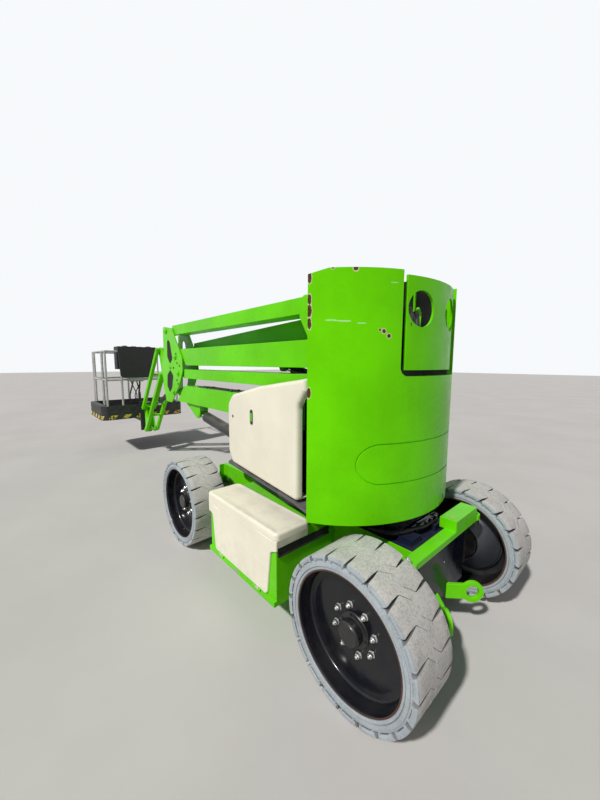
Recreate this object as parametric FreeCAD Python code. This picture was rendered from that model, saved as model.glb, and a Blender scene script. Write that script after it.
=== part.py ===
import FreeCAD, Part
import math
import os

# Articulating boom lift, self-propelled, 1.5 m wide, stowed with its jib hanging down.
# X runs forward to the work cage, Y to the left, Z up from the ground. Millimetres.
# Shapes are drawn about the ground point midway between the axles, and each one is then
# shifted back along X so that the origin lies under the middle of the whole machine.

V = FreeCAD.Vector
os.makedirs("parts", exist_ok=True)
RUN = 5.0

# Wheels and axles
WHEELBASE = 1892.0
OVERALL_WIDTH = 1500.0
TYRE_R = 369.0
TYRE_W = 285.0
TYRE_SHOULDER = 22.0
SHOULDER_DROP = 17.0
LUGS = 20
LUG_DEPTH = 24.0
LUG_GAP = 13.0
LUG_REACH = 90.0
RIM_R = 299.7
RIM_WALL = 11.0
RIM_INSET = 8.0
DISC_THICK = 16.0
DISC_R = 262.0
DISC_STEP = 34.0
DISC_FACE_Y = OVERALL_WIDTH / 2 - 95
HUB_R = 78.0
HUB_END_Y = OVERALL_WIDTH / 2 - 38
SPINDLE_R = 40.0
SPINDLE_FIT = 0.05
KINGPIN_Y = OVERALL_WIDTH / 2 - TYRE_W - 5
STEER_ARM = (110.0, 60.0)
STEER_ARM_Z = (569.0, 597.0)
TRACK_ROD_Z = (607.0, 639.0)

# Chassis and side pods
SPINE_HALF_W = KINGPIN_Y - 220
SPINE_Z = (230.0, 600.0)
SPINE_END_X = WHEELBASE / 2 + 94
AXLE_TOP_Z = 428.0
AXLE_CLEAR_X = WHEELBASE / 2 - 246
PANEL_HALF_W = SPINE_HALF_W + 45
POD_X = (489 - WHEELBASE / 2, WHEELBASE / 2 - 576)
POD_OUT_Y = OVERALL_WIDTH / 2 - 10
POD_Z = (210.0, 612.0)
POD_WALL = 12.0
COVER_WALL = 12.0
COVER_TOP_Z = 655.0
COVER_IN_Y = POD_OUT_Y - 270
COVER_HINGE_Z = 240.3
SEAT = 0.3
COVER_GAP = 6.0
COVER_HINGE_R = 8.0
COVER_HINGE_PIN_R = 4.0
COVER_HINGE_INSET = 190.0
COVER_KNUCKLE = 26.0

# Turret
SLEW_X = -230.0
DRUM_R = 750.0
DRUM_WALL = 60.0
DRUM_Z = (757.0, 2050.0)
DRUM_HALF_ANGLE = 60.0
FACET_ANGLE = 52.0
CORNER_DROP = 26.0
STADIUM_Z = (970.0, 1190.0)
STADIUM_HALF_W = 492.0
GROOVE = (8.0, 5.0)
FLAP_GAP = 42.0
SLOT_HALF_W = 300.0
SLOT_Z = 1530.0
DECK_Z = (745.0, 757.0)
DECK_FRONT_X = 655.0
BASE_R = 450.0
BASE_Z = 665.0
RING_R = 290.0
CANOPY_POST = (624.0, 375.0)
CANOPY_POST_R = 12.0

# Link stack: all four links lie between the same two planes, left of the main boom
LINK_Y = (130.0, 290.0)
PLATE = 12.0
PLATE_GAP = 6.0
LUG_W = 60.0
PIN_R = 22.0
LOW_LINK_LENGTH = 2680.0
TOP_LINK_LENGTH = 2610.0
LINK_TOP_REAR = (-580.0, 1660.0)
LINK_LOW_REAR = (-570.0, 1240.0)
LINK_TOP = (LINK_TOP_REAR[0] + TOP_LINK_LENGTH, LINK_TOP_REAR[1])
LINK_LOW = (LINK_LOW_REAR[0] + LOW_LINK_LENGTH, LINK_LOW_REAR[1])
TIE_TOP_OFFSET = (270.0, 315.0)
TIE_LOW_OFFSET = (-150.0, 230.0)
BOOM_PIVOT = (-460.0, 1818.0)
BOOM_SLOPE = 2.9
BOOM_HALF_W = 100.0
BOOM_HALF_H = 130.0
BOOM_END = 2430.0
INNER_HALF_W = 76.0
INNER_HALF_H = 98.0
NOSE_PIVOT_S = 3520.0
BOOM_WALL = 8.0
NOSE_SLOT = 350.0

# Jib and cage
JIB_LOW_PIN = (3190.0, 1410.0)
JIB_TOP_PIN = (3300.0, 1780.0)
JIB_LENGTH = 1270.0
JIB_ANGLE = -49.0
JIB_ARM_Y = (68.0, 112.0)
JIB_ARM_H = 60.0
CAGE_PIVOT_X = 4190.0
POST_OVER = 54.0
CAGE_X = (4350.0, 5400.0)
CAGE_HALF_W = 600.0
CAGE_FLOOR_Z = 690.0
KICK_Z = (620.0, 860.0)
RAIL_MID_Z = 1300.0
RAIL_TOP_Z = 1780.0
RAIL_R = 17.0
BAND = 80.0
BAND_CORNER = 110.0

MIDDLE_X = (CAGE_X[1] - WHEELBASE / 2 - TYRE_R) / 2


def put(node, shape):
    """Shift a finished shape to the machine's middle and write it as its own file."""
    moved = shape.copy()
    moved.translate(V(-MIDDLE_X, 0, 0))
    moved.exportStep("parts/%s.step" % node)


def box(x0, x1, y0, y1, z0, z1):
    """A block between two corners given as limits along each axis."""
    return Part.makeBox(x1 - x0, y1 - y0, z1 - z0, V(x0, y0, z0))


def rod(start, end, radius):
    """A round bar from one point to another."""
    a, b = V(*start), V(*end)
    return Part.makeCylinder(radius, (b - a).Length, a, b - a)


def across(x, z, radius, y0, y1):
    """A round bar along Y at one place in side view."""
    return Part.makeCylinder(radius, y1 - y0, V(x, y0, z), V(0, 1, 0))


def upright(x, y, radius, z0, z1):
    """A round bar along Z at one place in plan."""
    return Part.makeCylinder(radius, z1 - z0, V(x, y, z0), V(0, 0, 1))


def rounded_wire(corners, place):
    """A closed wire through (u, v, radius) corners, each rounded by its own radius."""
    count = len(corners)
    trims = []
    for i in range(count):
        here = V(corners[i][0], corners[i][1], 0)
        back = (V(corners[i - 1][0], corners[i - 1][1], 0) - here).normalize()
        on = (V(corners[(i + 1) % count][0], corners[(i + 1) % count][1], 0) - here).normalize()
        half = back.getAngle(on) / 2
        radius = corners[i][2]
        reach = radius / math.tan(half)
        start, end = here + back * reach, here + on * reach
        middle = here
        if radius > 0:
            towards = (back + on).normalize()
            middle = here + towards * (radius / math.sin(half) - radius)
        trims.append((start, middle, end))
    edges = []
    for i in range(count):
        start, middle, end = trims[i]
        if corners[i][2] > 0:
            edges.append(Part.Arc(place(start), place(middle), place(end)).toShape())
        follow = trims[(i + 1) % count][0]
        if (follow - end).Length > 1e-6:
            edges.append(Part.makeLine(place(end), place(follow)))
    return Part.Wire(edges)


def side_plate(corners, y0, y1):
    """A plate seen from the side: (x, z, radius) corners, thick from y0 to y1."""
    wire = rounded_wire(corners, lambda p: V(p.x, y0, p.y))
    return Part.Face(wire).extrude(V(0, y1 - y0, 0))


def flat_plate(corners, z0, z1):
    """A plate seen from above: (x, y, radius) corners, thick from z0 to z1."""
    wire = rounded_wire(corners, lambda p: V(p.x, p.y, z0))
    return Part.Face(wire).extrude(V(0, 0, z1 - z0))


def front_plate(corners, x0, x1):
    """A plate seen from the front: (y, z, radius) corners, thick from x0 to x1."""
    wire = rounded_wire(corners, lambda p: V(x0, p.x, p.y))
    return Part.Face(wire).extrude(V(x1 - x0, 0, 0))


def joined(shapes):
    """Several shapes fused into one solid with its seams removed."""
    result = shapes[0]
    if len(shapes) > 1:
        result = shapes[0].fuse(shapes[1:])
    return result.removeSplitter()


def mirrored(shape):
    """The same shape on the other side of the machine."""
    return shape.mirror(V(0, 0, 0), V(0, 1, 0))


def sides():
    """The name and sign of each side."""
    return (("left", 1), ("right", -1))


def on_side(shape, sign):
    """A shape drawn for the left, as it is or mirrored to the right."""
    return shape if sign > 0 else mirrored(shape)


def turned(shape, x, z, angle):
    """A shape turned in side view about a point, front end up for a positive angle."""
    copy = shape.copy()
    copy.rotate(V(x, 0, z), V(0, -1, 0), angle)
    return copy


# Wheels

def wheel_ring(x, y, radii_angles):
    """Points about a wheel's axis, at one place across the machine."""
    points = []
    for radius, angle in radii_angles:
        a = math.radians(angle)
        points.append(V(x + radius * math.sin(a), y, TYRE_R - radius * math.cos(a)))
    return points


def flat_face(points):
    return Part.Face(Part.makePolygon(points + points[:1]))


def flat_sided(rings):
    """A solid of flat faces between outlines that have the same number of points."""
    faces = [flat_face(rings[0]), flat_face(rings[-1])]
    for near, far in zip(rings, rings[1:]):
        for i in range(len(near)):
            j = (i + 1) % len(near)
            faces.append(flat_face([near[i], near[j], far[j], far[i]]))
    return Part.makeSolid(Part.makeShell(faces))


def tyre(x):
    """Solid tyre for the left side: a flat-sided ring with a row of lugs at each shoulder."""
    y1 = OVERALL_WIDTH / 2
    y0 = y1 - TYRE_W
    facet = 360.0 / (2 * LUGS)
    floor = TYRE_R - LUG_DEPTH
    gap = math.degrees(LUG_GAP / TYRE_R) / 2
    # a lug ends between two corners of the flat-sided ring, where the ring is nearer to the axis
    edge = math.cos(math.radians(facet / 2)) / math.cos(math.radians(facet / 2 - gap))

    def prism(radius, y_from, y_to):
        ring = wheel_ring(x, y_from, [(radius, facet * i) for i in range(2 * LUGS)])
        return flat_face(ring).extrude(V(0, y_to - y_from, 0))

    core = prism(floor, y0, y1)
    band = prism(TYRE_R, y0 + LUG_REACH, y1 - LUG_REACH)
    bore = prism((RIM_R + SEAT) / math.cos(math.radians(facet / 2)), y0 - 1, y1 + 1)
    lugs = []
    for outside, inside, half in ((y1, y1 - LUG_REACH, 0), (y0, y0 + LUG_REACH, 1)):
        taper = TYRE_SHOULDER if outside > inside else -TYRE_SHOULDER
        for i in range(LUGS):
            a0, a1 = (2 * i + half) * facet + gap, (2 * i + half + 2) * facet - gap
            middle = (a0 + a1) / 2
            rings = []
            for y, top in ((inside, TYRE_R), (outside - taper, TYRE_R), (outside, TYRE_R - SHOULDER_DROP)):
                rings.append(wheel_ring(x, y, [(floor - 8, a0), (top * edge, a0), (top, middle),
                                               (top * edge, a1), (floor - 8, a1), (floor - 8, middle)]))
            lugs.append(flat_sided(rings))
    return joined([core, band] + lugs).cut(bore)


def rim(x):
    """Dished rim with its centre disc and hub, bored for the spindle."""
    y0 = OVERALL_WIDTH / 2 - TYRE_W + RIM_INSET
    y1 = OVERALL_WIDTH / 2 - RIM_INSET
    barrel = across(x, TYRE_R, RIM_R, y0, y1).cut(across(x, TYRE_R, RIM_R - RIM_WALL, y0, y1))
    disc = across(x, TYRE_R, RIM_R - RIM_WALL / 2, DISC_FACE_Y - DISC_THICK, DISC_FACE_Y)
    # a conical step leads from the barrel's wall down to the disc
    step = across(x, TYRE_R, RIM_R - RIM_WALL / 2, DISC_FACE_Y - 1, DISC_FACE_Y + DISC_STEP)
    step = step.cut(Part.makeCone(DISC_R, RIM_R - RIM_WALL, DISC_STEP, V(x, DISC_FACE_Y, TYRE_R), V(0, 1, 0)))
    step = step.cut(across(x, TYRE_R, DISC_R, DISC_FACE_Y - 1, DISC_FACE_Y + 1))
    hub = across(x, TYRE_R, HUB_R, DISC_FACE_Y - DISC_THICK, HUB_END_Y)
    bore = across(x, TYRE_R, SPINDLE_R + SPINDLE_FIT, DISC_FACE_Y - DISC_THICK, HUB_END_Y - 14)
    return joined([barrel, disc, step, hub]).cut(bore)


def spindle(x):
    """Drive housing and spindle that carry one left wheel."""
    housing_end = DISC_FACE_Y - DISC_THICK - RUN
    housing = across(x, TYRE_R, 112, KINGPIN_Y + 30, housing_end)
    return joined([housing, across(x, TYRE_R, SPINDLE_R, housing_end - 1, HUB_END_Y - 20)])


def make_wheels():
    for place, x in (("front", WHEELBASE / 2), ("rear", -WHEELBASE / 2)):
        for side, sign in sides():
            put("tyre_%s_%s" % (place, side), on_side(tyre(x), sign))
            put("rim_%s_%s" % (place, side), on_side(rim(x), sign))


def make_axles():
    depth, low = 62.0, TYRE_R - 62
    front_x, rear_x = WHEELBASE / 2, -WHEELBASE / 2
    half = KINGPIN_Y + 31
    beam = box(front_x - depth, front_x + depth, -half, half, low, AXLE_TOP_Z)
    put("front_axle", joined([beam, spindle(front_x), mirrored(spindle(front_x))]))
    # the rear beam ends in a fork above and below each knuckle
    yoke_z = ((TYRE_R - 150, TYRE_R - 126), (TYRE_R + 126, TYRE_R + 150))
    web_y = KINGPIN_Y - 78
    pieces = [box(rear_x - depth, rear_x + depth, -web_y, web_y, low, AXLE_TOP_Z)]
    for sign in (1, -1):
        y = sign * (web_y - 12)
        pieces.append(box(rear_x - 45, rear_x + 45, min(y, y - sign * 24), max(y, y - sign * 24),
                          yoke_z[0][0], yoke_z[1][1]))
        for z0, z1 in yoke_z:
            ear = box(rear_x - 45, rear_x + 45, min(y, sign * KINGPIN_Y), max(y, sign * KINGPIN_Y), z0, z1)
            pieces += [ear, upright(rear_x, sign * KINGPIN_Y, 45, z0, z1)]
    beam = joined(pieces)
    for sign in (1, -1):
        beam = beam.cut(upright(rear_x, sign * KINGPIN_Y, 25.05, 0, 2 * TYRE_R))
    put("rear_axle", beam)
    # the knuckle swings on its kingpin and carries the steering arm
    for side, sign in sides():
        block = upright(rear_x, KINGPIN_Y, 56, TYRE_R - 120, TYRE_R + 120)
        pin = upright(rear_x, KINGPIN_Y, 25, TYRE_R - 156, STEER_ARM_Z[1] + 6)
        arm_x, arm_y = rear_x - STEER_ARM[0], KINGPIN_Y - STEER_ARM[1]
        arm = flat_plate([(rear_x + 40, KINGPIN_Y - 40, 20), (rear_x + 40, KINGPIN_Y + 40, 20),
                          (rear_x - 30, KINGPIN_Y + 40, 20), (arm_x - 34, arm_y + 34, 20),
                          (arm_x - 34, arm_y - 34, 20), (rear_x - 60, KINGPIN_Y - 60, 20)],
                         *STEER_ARM_Z)
        neck = joined([block, pin, arm, spindle(rear_x)])
        put("steer_knuckle_" + side, on_side(neck, sign))


def make_track_rod():
    """Flat green bar over the two steering arms, with a stud down to each of them."""
    x = -WHEELBASE / 2 - STEER_ARM[0]
    y = KINGPIN_Y - STEER_ARM[1]
    z0, z1 = TRACK_ROD_Z
    half = 34.0
    bar = box(x - half, x + half, -y, y, z0, z1)
    raised = box(x - half, x + half + 30, -y + 30, -y + 330, z1 - 1, z1 + 60)
    eyes = []
    for sign in (1, -1):
        eyes += [upright(x, sign * y, 42, z0, z1), upright(x, sign * y, 18, STEER_ARM_Z[1] + SEAT, z1 + 14)]
    put("track_rod", joined([bar, raised] + eyes))


# Chassis

def make_chassis():
    z0, z1 = SPINE_Z
    profile = [(-SPINE_END_X, z1, 0), (SPINE_END_X, z1, 0), (SPINE_END_X, AXLE_TOP_Z, 0),
               (AXLE_CLEAR_X, AXLE_TOP_Z, 0), (AXLE_CLEAR_X, z0, 0), (-AXLE_CLEAR_X, z0, 0),
               (-AXLE_CLEAR_X, AXLE_TOP_Z, 0), (-SPINE_END_X, AXLE_TOP_Z, 0)]
    spine = side_plate(profile, -SPINE_HALF_W, SPINE_HALF_W)
    # end panels reach down in front of and behind the axles
    ends = [box(-SPINE_END_X - PLATE, -SPINE_END_X, -PANEL_HALF_W, PANEL_HALF_W, 250, z1 - 4),
            box(SPINE_END_X, SPINE_END_X + PLATE, -PANEL_HALF_W, PANEL_HALF_W, 250, z1 - 4)]
    # decks over the inner part of each pod, beside the cover's inner edge
    deck_y = COVER_IN_Y - COVER_GAP
    decks = [box(POD_X[0] + 17, POD_X[1] - 17, SPINE_HALF_W, deck_y, POD_Z[1], POD_Z[1] + 22),
             box(POD_X[0] + 17, POD_X[1] - 17, -deck_y, -SPINE_HALF_W, POD_Z[1], POD_Z[1] + 22)]
    top = box(POD_X[0] + 17, POD_X[1] - 17, -SPINE_HALF_W, SPINE_HALF_W, z1 - 1, POD_Z[1] + 22)
    put("chassis_frame", joined([spine, top] + ends + decks))
    put("slew_ring", upright(SLEW_X, 0, RING_R, POD_Z[1] + 22, BASE_Z - SEAT))


def make_tie_downs():
    """Splayed lugs at the four chassis corners, each with a round eye."""
    for place, end in (("front", 1), ("rear", -1)):
        lugs = []
        for sign in (1, -1):
            eye = V(end * (SPINE_END_X + PLATE + 108), sign * 170, 268)
            foot = V(end * (SPINE_END_X + PLATE), sign * 62, 268)
            out = (eye - foot).normalize()
            aside = V(-out.y, out.x, 0)
            ring = Part.makeCylinder(64, 22, eye - aside * 11, aside)
            hole = Part.makeCylinder(36, 24, eye - aside * 12, aside)
            along = (eye - foot).Length
            tongue = Part.makeBox(along - 20, 22, 90, V(0, -11, -45))
            tongue.rotate(V(0, 0, 0), V(0, 0, 1), math.degrees(math.atan2(out.y, out.x)))
            tongue.translate(foot)
            behind = SPINE_END_X + PLATE
            keep = box(min(end * behind, end * 1400), max(end * behind, end * 1400), -400, 400, 100, 500)
            lugs.append(joined([ring, tongue.common(keep)]).cut(hole))
        put("tie_down_" + place, Part.makeCompound(lugs))


def hinge_bar(x0, x1, radius):
    """A round bar on the hinge line of the left pod cover."""
    return rod((x0, POD_OUT_Y, COVER_HINGE_Z), (x1, POD_OUT_Y, COVER_HINGE_Z), radius)


def make_pods():
    x0, x1 = POD_X[0] + 17, POD_X[1] - 17
    y0, y1 = SPINE_HALF_W, POD_OUT_Y - COVER_WALL - COVER_GAP
    tub = box(x0, x1, y0, y1, POD_Z[0], POD_Z[1])
    room = box(x0 + POD_WALL, x1 - POD_WALL, y0 + POD_WALL, y1 - POD_WALL,
               POD_Z[0] + POD_WALL, POD_Z[1] + 1)
    rail = box(x0, x1, y1 - 1, POD_OUT_Y, POD_Z[0], COVER_HINGE_Z - SEAT)
    tub_knuckles, cover_knuckles, tub_room, cover_room = [], [], [], []
    half = COVER_KNUCKLE / 2
    for at in (POD_X[0] + COVER_HINGE_INSET, POD_X[1] - COVER_HINGE_INSET):
        cover_knuckles += [hinge_bar(at - half, at + half, COVER_HINGE_R),
                           hinge_bar(at - 2 * half, at + 2 * half, COVER_HINGE_PIN_R)]
        tub_room.append(hinge_bar(at - half - 1, at + half + 1, COVER_HINGE_R + 1))
        for a, b in ((at - 3 * half, at - half - 1), (at + half + 1, at + 3 * half)):
            tub_knuckles.append(hinge_bar(a, b, COVER_HINGE_R))
            cover_room.append(hinge_bar(a - 1, b + 1, COVER_HINGE_R + 1))
        tub_room.append(hinge_bar(at - 4 * half, at + 4 * half, COVER_HINGE_PIN_R + SEAT))
    tub = joined([tub.cut(room), rail] + tub_knuckles).cut(tub_room)
    pack = box(x0 + 40, x1 - 40, y0 + 40, y1 - 40, POD_Z[0] + POD_WALL, POD_Z[1] - 90)
    for side, sign in sides():
        put("pod_tub_" + side, on_side(tub, sign))
    put("battery_packs", Part.makeCompound([pack, mirrored(pack)]))
    # the cover wraps over the top and down the outside, its skirt tapering to the hinge
    outer = box(POD_X[0], POD_X[1], COVER_IN_Y, POD_OUT_Y, COVER_HINGE_Z, COVER_TOP_Z)
    inner = box(POD_X[0] + COVER_WALL, POD_X[1] - COVER_WALL, COVER_IN_Y - 1,
                POD_OUT_Y - COVER_WALL, COVER_HINGE_Z - 1, COVER_TOP_Z - COVER_WALL)
    shell = outer.cut(inner)
    low = COVER_HINGE_Z
    hem = 505.0
    skirt = [(POD_X[0] - 1, COVER_TOP_Z + 1, 0), (POD_X[0] - 1, hem, 0), (POD_X[0] + 62, hem, 26),
             (POD_X[0] + 96, low, 30), (POD_X[1] - 96, low, 30), (POD_X[1] - 62, hem, 26),
             (POD_X[1] + 1, hem, 0), (POD_X[1] + 1, COVER_TOP_Z + 1, 0)]
    shell = shell.common(side_plate(skirt, 0, OVERALL_WIDTH / 2)).cut(cover_room)
    shell = joined([shell] + cover_knuckles)
    for side, sign in sides():
        put("pod_cover_" + side, on_side(shell, sign))


# Turret

def drum_sector(radius, half_angle, z0, z1):
    """A solid pie slice about the slewing axis, centred on the rear."""
    slice_ = Part.makeCylinder(radius, z1 - z0, V(SLEW_X, 0, z0), V(0, 0, 1), 2 * half_angle)
    slice_.rotate(V(SLEW_X, 0, 0), V(0, 0, 1), 180 - half_angle)
    return slice_


def drum_point(angle, inset):
    """A point of the drum's face in plan, by its angle from the rear towards the left."""
    a = math.radians(180 - angle)
    return V(SLEW_X + (DRUM_R - inset) * math.cos(a), (DRUM_R - inset) * math.sin(a), 0)


def make_turret():
    z0, z1 = DRUM_Z
    drum = drum_sector(DRUM_R, DRUM_HALF_ANGLE, z0, z1)
    drum = drum.cut(upright(SLEW_X, 0, DRUM_R - DRUM_WALL, z0 - 1, z1 + 1))
    slot = front_plate([(-SLOT_HALF_W, z1 + 60, 0), (-SLOT_HALF_W, SLOT_Z, 45),
                        (SLOT_HALF_W, SLOT_Z, 45), (SLOT_HALF_W, z1 + 60, 0)],
                       SLEW_X - DRUM_R - 10, SLEW_X)
    drum = drum.cut(slot)
    # the last stretch at each end is a flat facet whose top corner drops
    start, end = drum_point(FACET_ANGLE, 0), drum_point(DRUM_HALF_ANGLE, 0)
    along = (end - start).normalize()
    out = V(-along.y, along.x, 0)
    knife = Part.makePolygon([start, start + along * 200, start + along * 200 + out * 60,
                              start + out * 60, start])
    knife = Part.Face(knife).extrude(V(0, 0, z1 - z0 + 2))
    knife.translate(V(0, 0, z0 - 1))
    top = V(0, 0, z1)
    inside = out * -2 * DRUM_WALL
    wedge = [start + top, end + along * 40 + top - V(0, 0, CORNER_DROP * 1.3), end + along * 40 + top]
    wedge = Part.Face(Part.makePolygon(wedge + wedge[:1])).extrude(inside)
    for cutter in (knife, wedge):
        drum = drum.cut(cutter).cut(mirrored(cutter))
    # a stadium outline is cast into the rear face
    width, depth = GROOVE
    middle_z, half_h = sum(STADIUM_Z) / 2, (STADIUM_Z[1] - STADIUM_Z[0]) / 2
    shapes = []
    for inset in (0.0, width):
        w, h = STADIUM_HALF_W - inset, half_h - inset
        shapes.append(front_plate([(-w, middle_z - h, h - 1), (w, middle_z - h, h - 1),
                                   (w, middle_z + h, h - 1), (-w, middle_z + h, h - 1)],
                                  SLEW_X - DRUM_R - 10, SLEW_X - 300))
    line = shapes[0].cut(shapes[1]).cut(upright(SLEW_X, 0, DRUM_R - depth, z0, z1))
    put("counterweight", drum.cut(line))
    rear_x, wide_y = SLEW_X - DRUM_R + 100, DRUM_R - 150
    deck = flat_plate([(rear_x, -330, 60), (rear_x + 240, -wide_y, 60), (rear_x + 500, 60 - wide_y, 20),
                       (DECK_FRONT_X, -420, 60), (DECK_FRONT_X, 420, 60), (rear_x + 500, wide_y - 60, 20),
                       (rear_x + 240, wide_y, 60), (rear_x, 330, 60)], *DECK_Z)
    base = upright(SLEW_X, 0, BASE_R, BASE_Z, DECK_Z[0])
    posts = [upright(CANOPY_POST[0], sign * CANOPY_POST[1], CANOPY_POST_R, DECK_Z[0], 1230)
             for sign in (1, -1)]
    put("turret_base", joined([base, deck] + posts))


def shifted(point, offset):
    return (point[0] + offset[0], point[1] + offset[1])


def around(point, corners):
    """Corners given as (x, z, radius) from a point in side view."""
    return [(point[0] + x, point[1] + z, radius) for x, z, radius in corners]


PLATE_OUT = (LINK_Y[1] + PLATE_GAP, LINK_Y[1] + PLATE_GAP + PLATE)
PLATE_IN = (LINK_Y[0] - PLATE_GAP - PLATE, LINK_Y[0] - PLATE_GAP)
LUG_Y = ((LINK_Y[0] + LINK_Y[1] - LUG_W) / 2, (LINK_Y[0] + LINK_Y[1] + LUG_W) / 2)
RISER_FOOT = (300.0, 835.0)
RISER_HEAD = shifted(LINK_LOW, (-543.0, -210.0))
BOOM_FOOT = (-340.0, 1400.0)
BOOM_HEAD = (350.0, 1560.0)
JIB_FOOT = (3100.0, 1160.0)
JIB_HEAD_S = 620.0


def pinned(plates, pins):
    """Plates joined by cross pins from the first plate's outside to the last one's."""
    y0 = min(p.BoundBox.YMin for p in plates)
    y1 = max(p.BoundBox.YMax for p in plates)
    return joined(plates + [across(x, z, PIN_R, y0 - 6, y1 + 6) for x, z in pins])


def make_turret_frame():
    """Tower plates that hold the two lower links, and the foot of the riser cylinder."""
    low, tie = LINK_LOW_REAR, shifted(LINK_LOW_REAR, TIE_LOW_OFFSET)
    back_x = SLEW_X - DRUM_R + DRUM_WALL
    outline = [(back_x, DECK_Z[1], 0), (420, DECK_Z[1], 0), (420, 900, 40), (-300, 1000, 60),
               (-480, 1300, 60), (tie[0] + 80, tie[1] + 60, 60), (tie[0] - 120, tie[1] + 60, 60),
               (back_x, 1300, 30)]
    plates = [side_plate(outline, *PLATE_IN), side_plate(outline, *PLATE_OUT)]
    floor = box(back_x + 40, 420, PLATE_IN[0], PLATE_OUT[1], DECK_Z[1], DECK_Z[1] + 14)
    back = box(back_x + 80, back_x + 94, -PLATE_OUT[1], PLATE_OUT[1], DECK_Z[1], 1300)
    frame = pinned(plates, [low, tie, RISER_FOOT])
    right = side_plate([(back_x, DECK_Z[1], 0), (-200, DECK_Z[1], 0), (-440, 1330, 60),
                        (back_x, 1330, 30)], -PLATE_OUT[1], -PLATE_OUT[0])
    inside = upright(SLEW_X, 0, DRUM_R - DRUM_WALL - SEAT, DRUM_Z[0], DRUM_Z[1])
    put("turret_frame", joined([frame, floor, back, right]).common(inside))


CANOPY_REAR = (-410.0, 550.0)
CANOPY_FRONT = (600.0, 430.0)
CANOPY_DEPTH = 105.0
CANOPY_WALL = 12.0
CANOPY_Z0 = 772.0
CANOPY_STRAP_Z = ((880.0, 910.0), (1180.0, 1210.0))
CANOPY_EAVE = 78.0


def make_canopies():
    """Cream doors either side of the turret, hollow and open to the inside and rear."""
    run = V(CANOPY_FRONT[0] - CANOPY_REAR[0], CANOPY_FRONT[1] - CANOPY_REAR[1], 0)
    length = run.Length
    along = V(run).normalize()
    inward = V(along.y, -along.x, 0)
    start = V(CANOPY_REAR[0], CANOPY_REAR[1], 0)

    def shell_wire(inset, push, rear, low):
        corners = [(rear, low, 0), (length - 70 - inset, low, 40),
                   (length - inset, CANOPY_Z0 + 90, 60), (length - inset, 1270 - inset, 60),
                   (length - 90 - inset, 1345 - inset, 60), (length * 0.45, 1440 - inset, 300),
                   (rear, 1500 - inset, 0)]
        return rounded_wire(corners, lambda p: start + along * p.x + inward * push + V(0, 0, p.y))

    outer = Part.Face(shell_wire(0, 0, 0, CANOPY_Z0)).extrude(inward * CANOPY_DEPTH)
    room = Part.Face(shell_wire(CANOPY_WALL, CANOPY_WALL, -5, CANOPY_Z0 - 5)).extrude(inward * CANOPY_DEPTH)
    # the roof's skin runs on behind the open rear edge and curves down into it
    eave = [(-CANOPY_EAVE, 1408, 0), (0, 1300, 0), (0, 1500, 0), (-CANOPY_EAVE, 1515, 0)]
    eave_wire = rounded_wire(eave, lambda p: start + along * p.x + V(0, 0, p.y))
    eave_side = Part.Face(eave_wire).extrude(inward * CANOPY_WALL)
    roof = [(-CANOPY_EAVE, 1503, 0), (1, 1488, 0), (1, 1500, 0), (-CANOPY_EAVE, 1515, 0)]
    roof_wire = rounded_wire(roof, lambda p: start + along * p.x + V(0, 0, p.y))
    eave_roof = Part.Face(roof_wire).extrude(inward * CANOPY_DEPTH)
    px, py = CANOPY_POST
    shell = joined([outer.cut(room), eave_side, eave_roof])
    straps = []
    for z0, z1 in CANOPY_STRAP_Z:
        straps += [box(px - 42, px, py - 14, py + 14, z0, z1), upright(px, py, 22, z0, z1)]
    shell = joined([shell] + straps).cut(upright(px, py, CANOPY_POST_R + SEAT, 0, 2000))
    for side, sign in sides():
        put("canopy_" + side, on_side(shell, sign))
    deck = DECK_Z[1]
    put("hydraulic_tank", box(-330, 380, 330, 415, deck, 1180))
    put("engine_block", box(-180, 400, -415, -150, deck, 1150))


# Link stack

def link_beam(corners, pins):
    """A box beam with a lug at each end that carries a pin eye between two plates."""
    beam = side_plate(corners, *LINK_Y)
    z_mid = (min(c[1] for c in corners) + max(c[1] for c in corners)) / 2
    pieces = [beam]
    for x, z in pins:
        inside = min(max(x, min(c[0] for c in corners) + 90), max(c[0] for c in corners) - 190)
        lug = side_plate([(min(x, inside), z - 42, 0), (max(x, inside), z_mid - 42, 0),
                          (max(x, inside), z_mid + 42, 0), (min(x, inside), z + 42, 0)]
                         if x < inside else
                         [(inside, z_mid - 42, 0), (x, z - 42, 0), (x, z + 42, 0), (inside, z_mid + 42, 0)],
                         *LUG_Y)
        pieces += [lug, across(x, z, 48, *LUG_Y)]
    body = joined(pieces)
    for x, z in pins:
        body = body.cut(across(x, z, PIN_R + 0.3, 0, 400))
    return body


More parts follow.
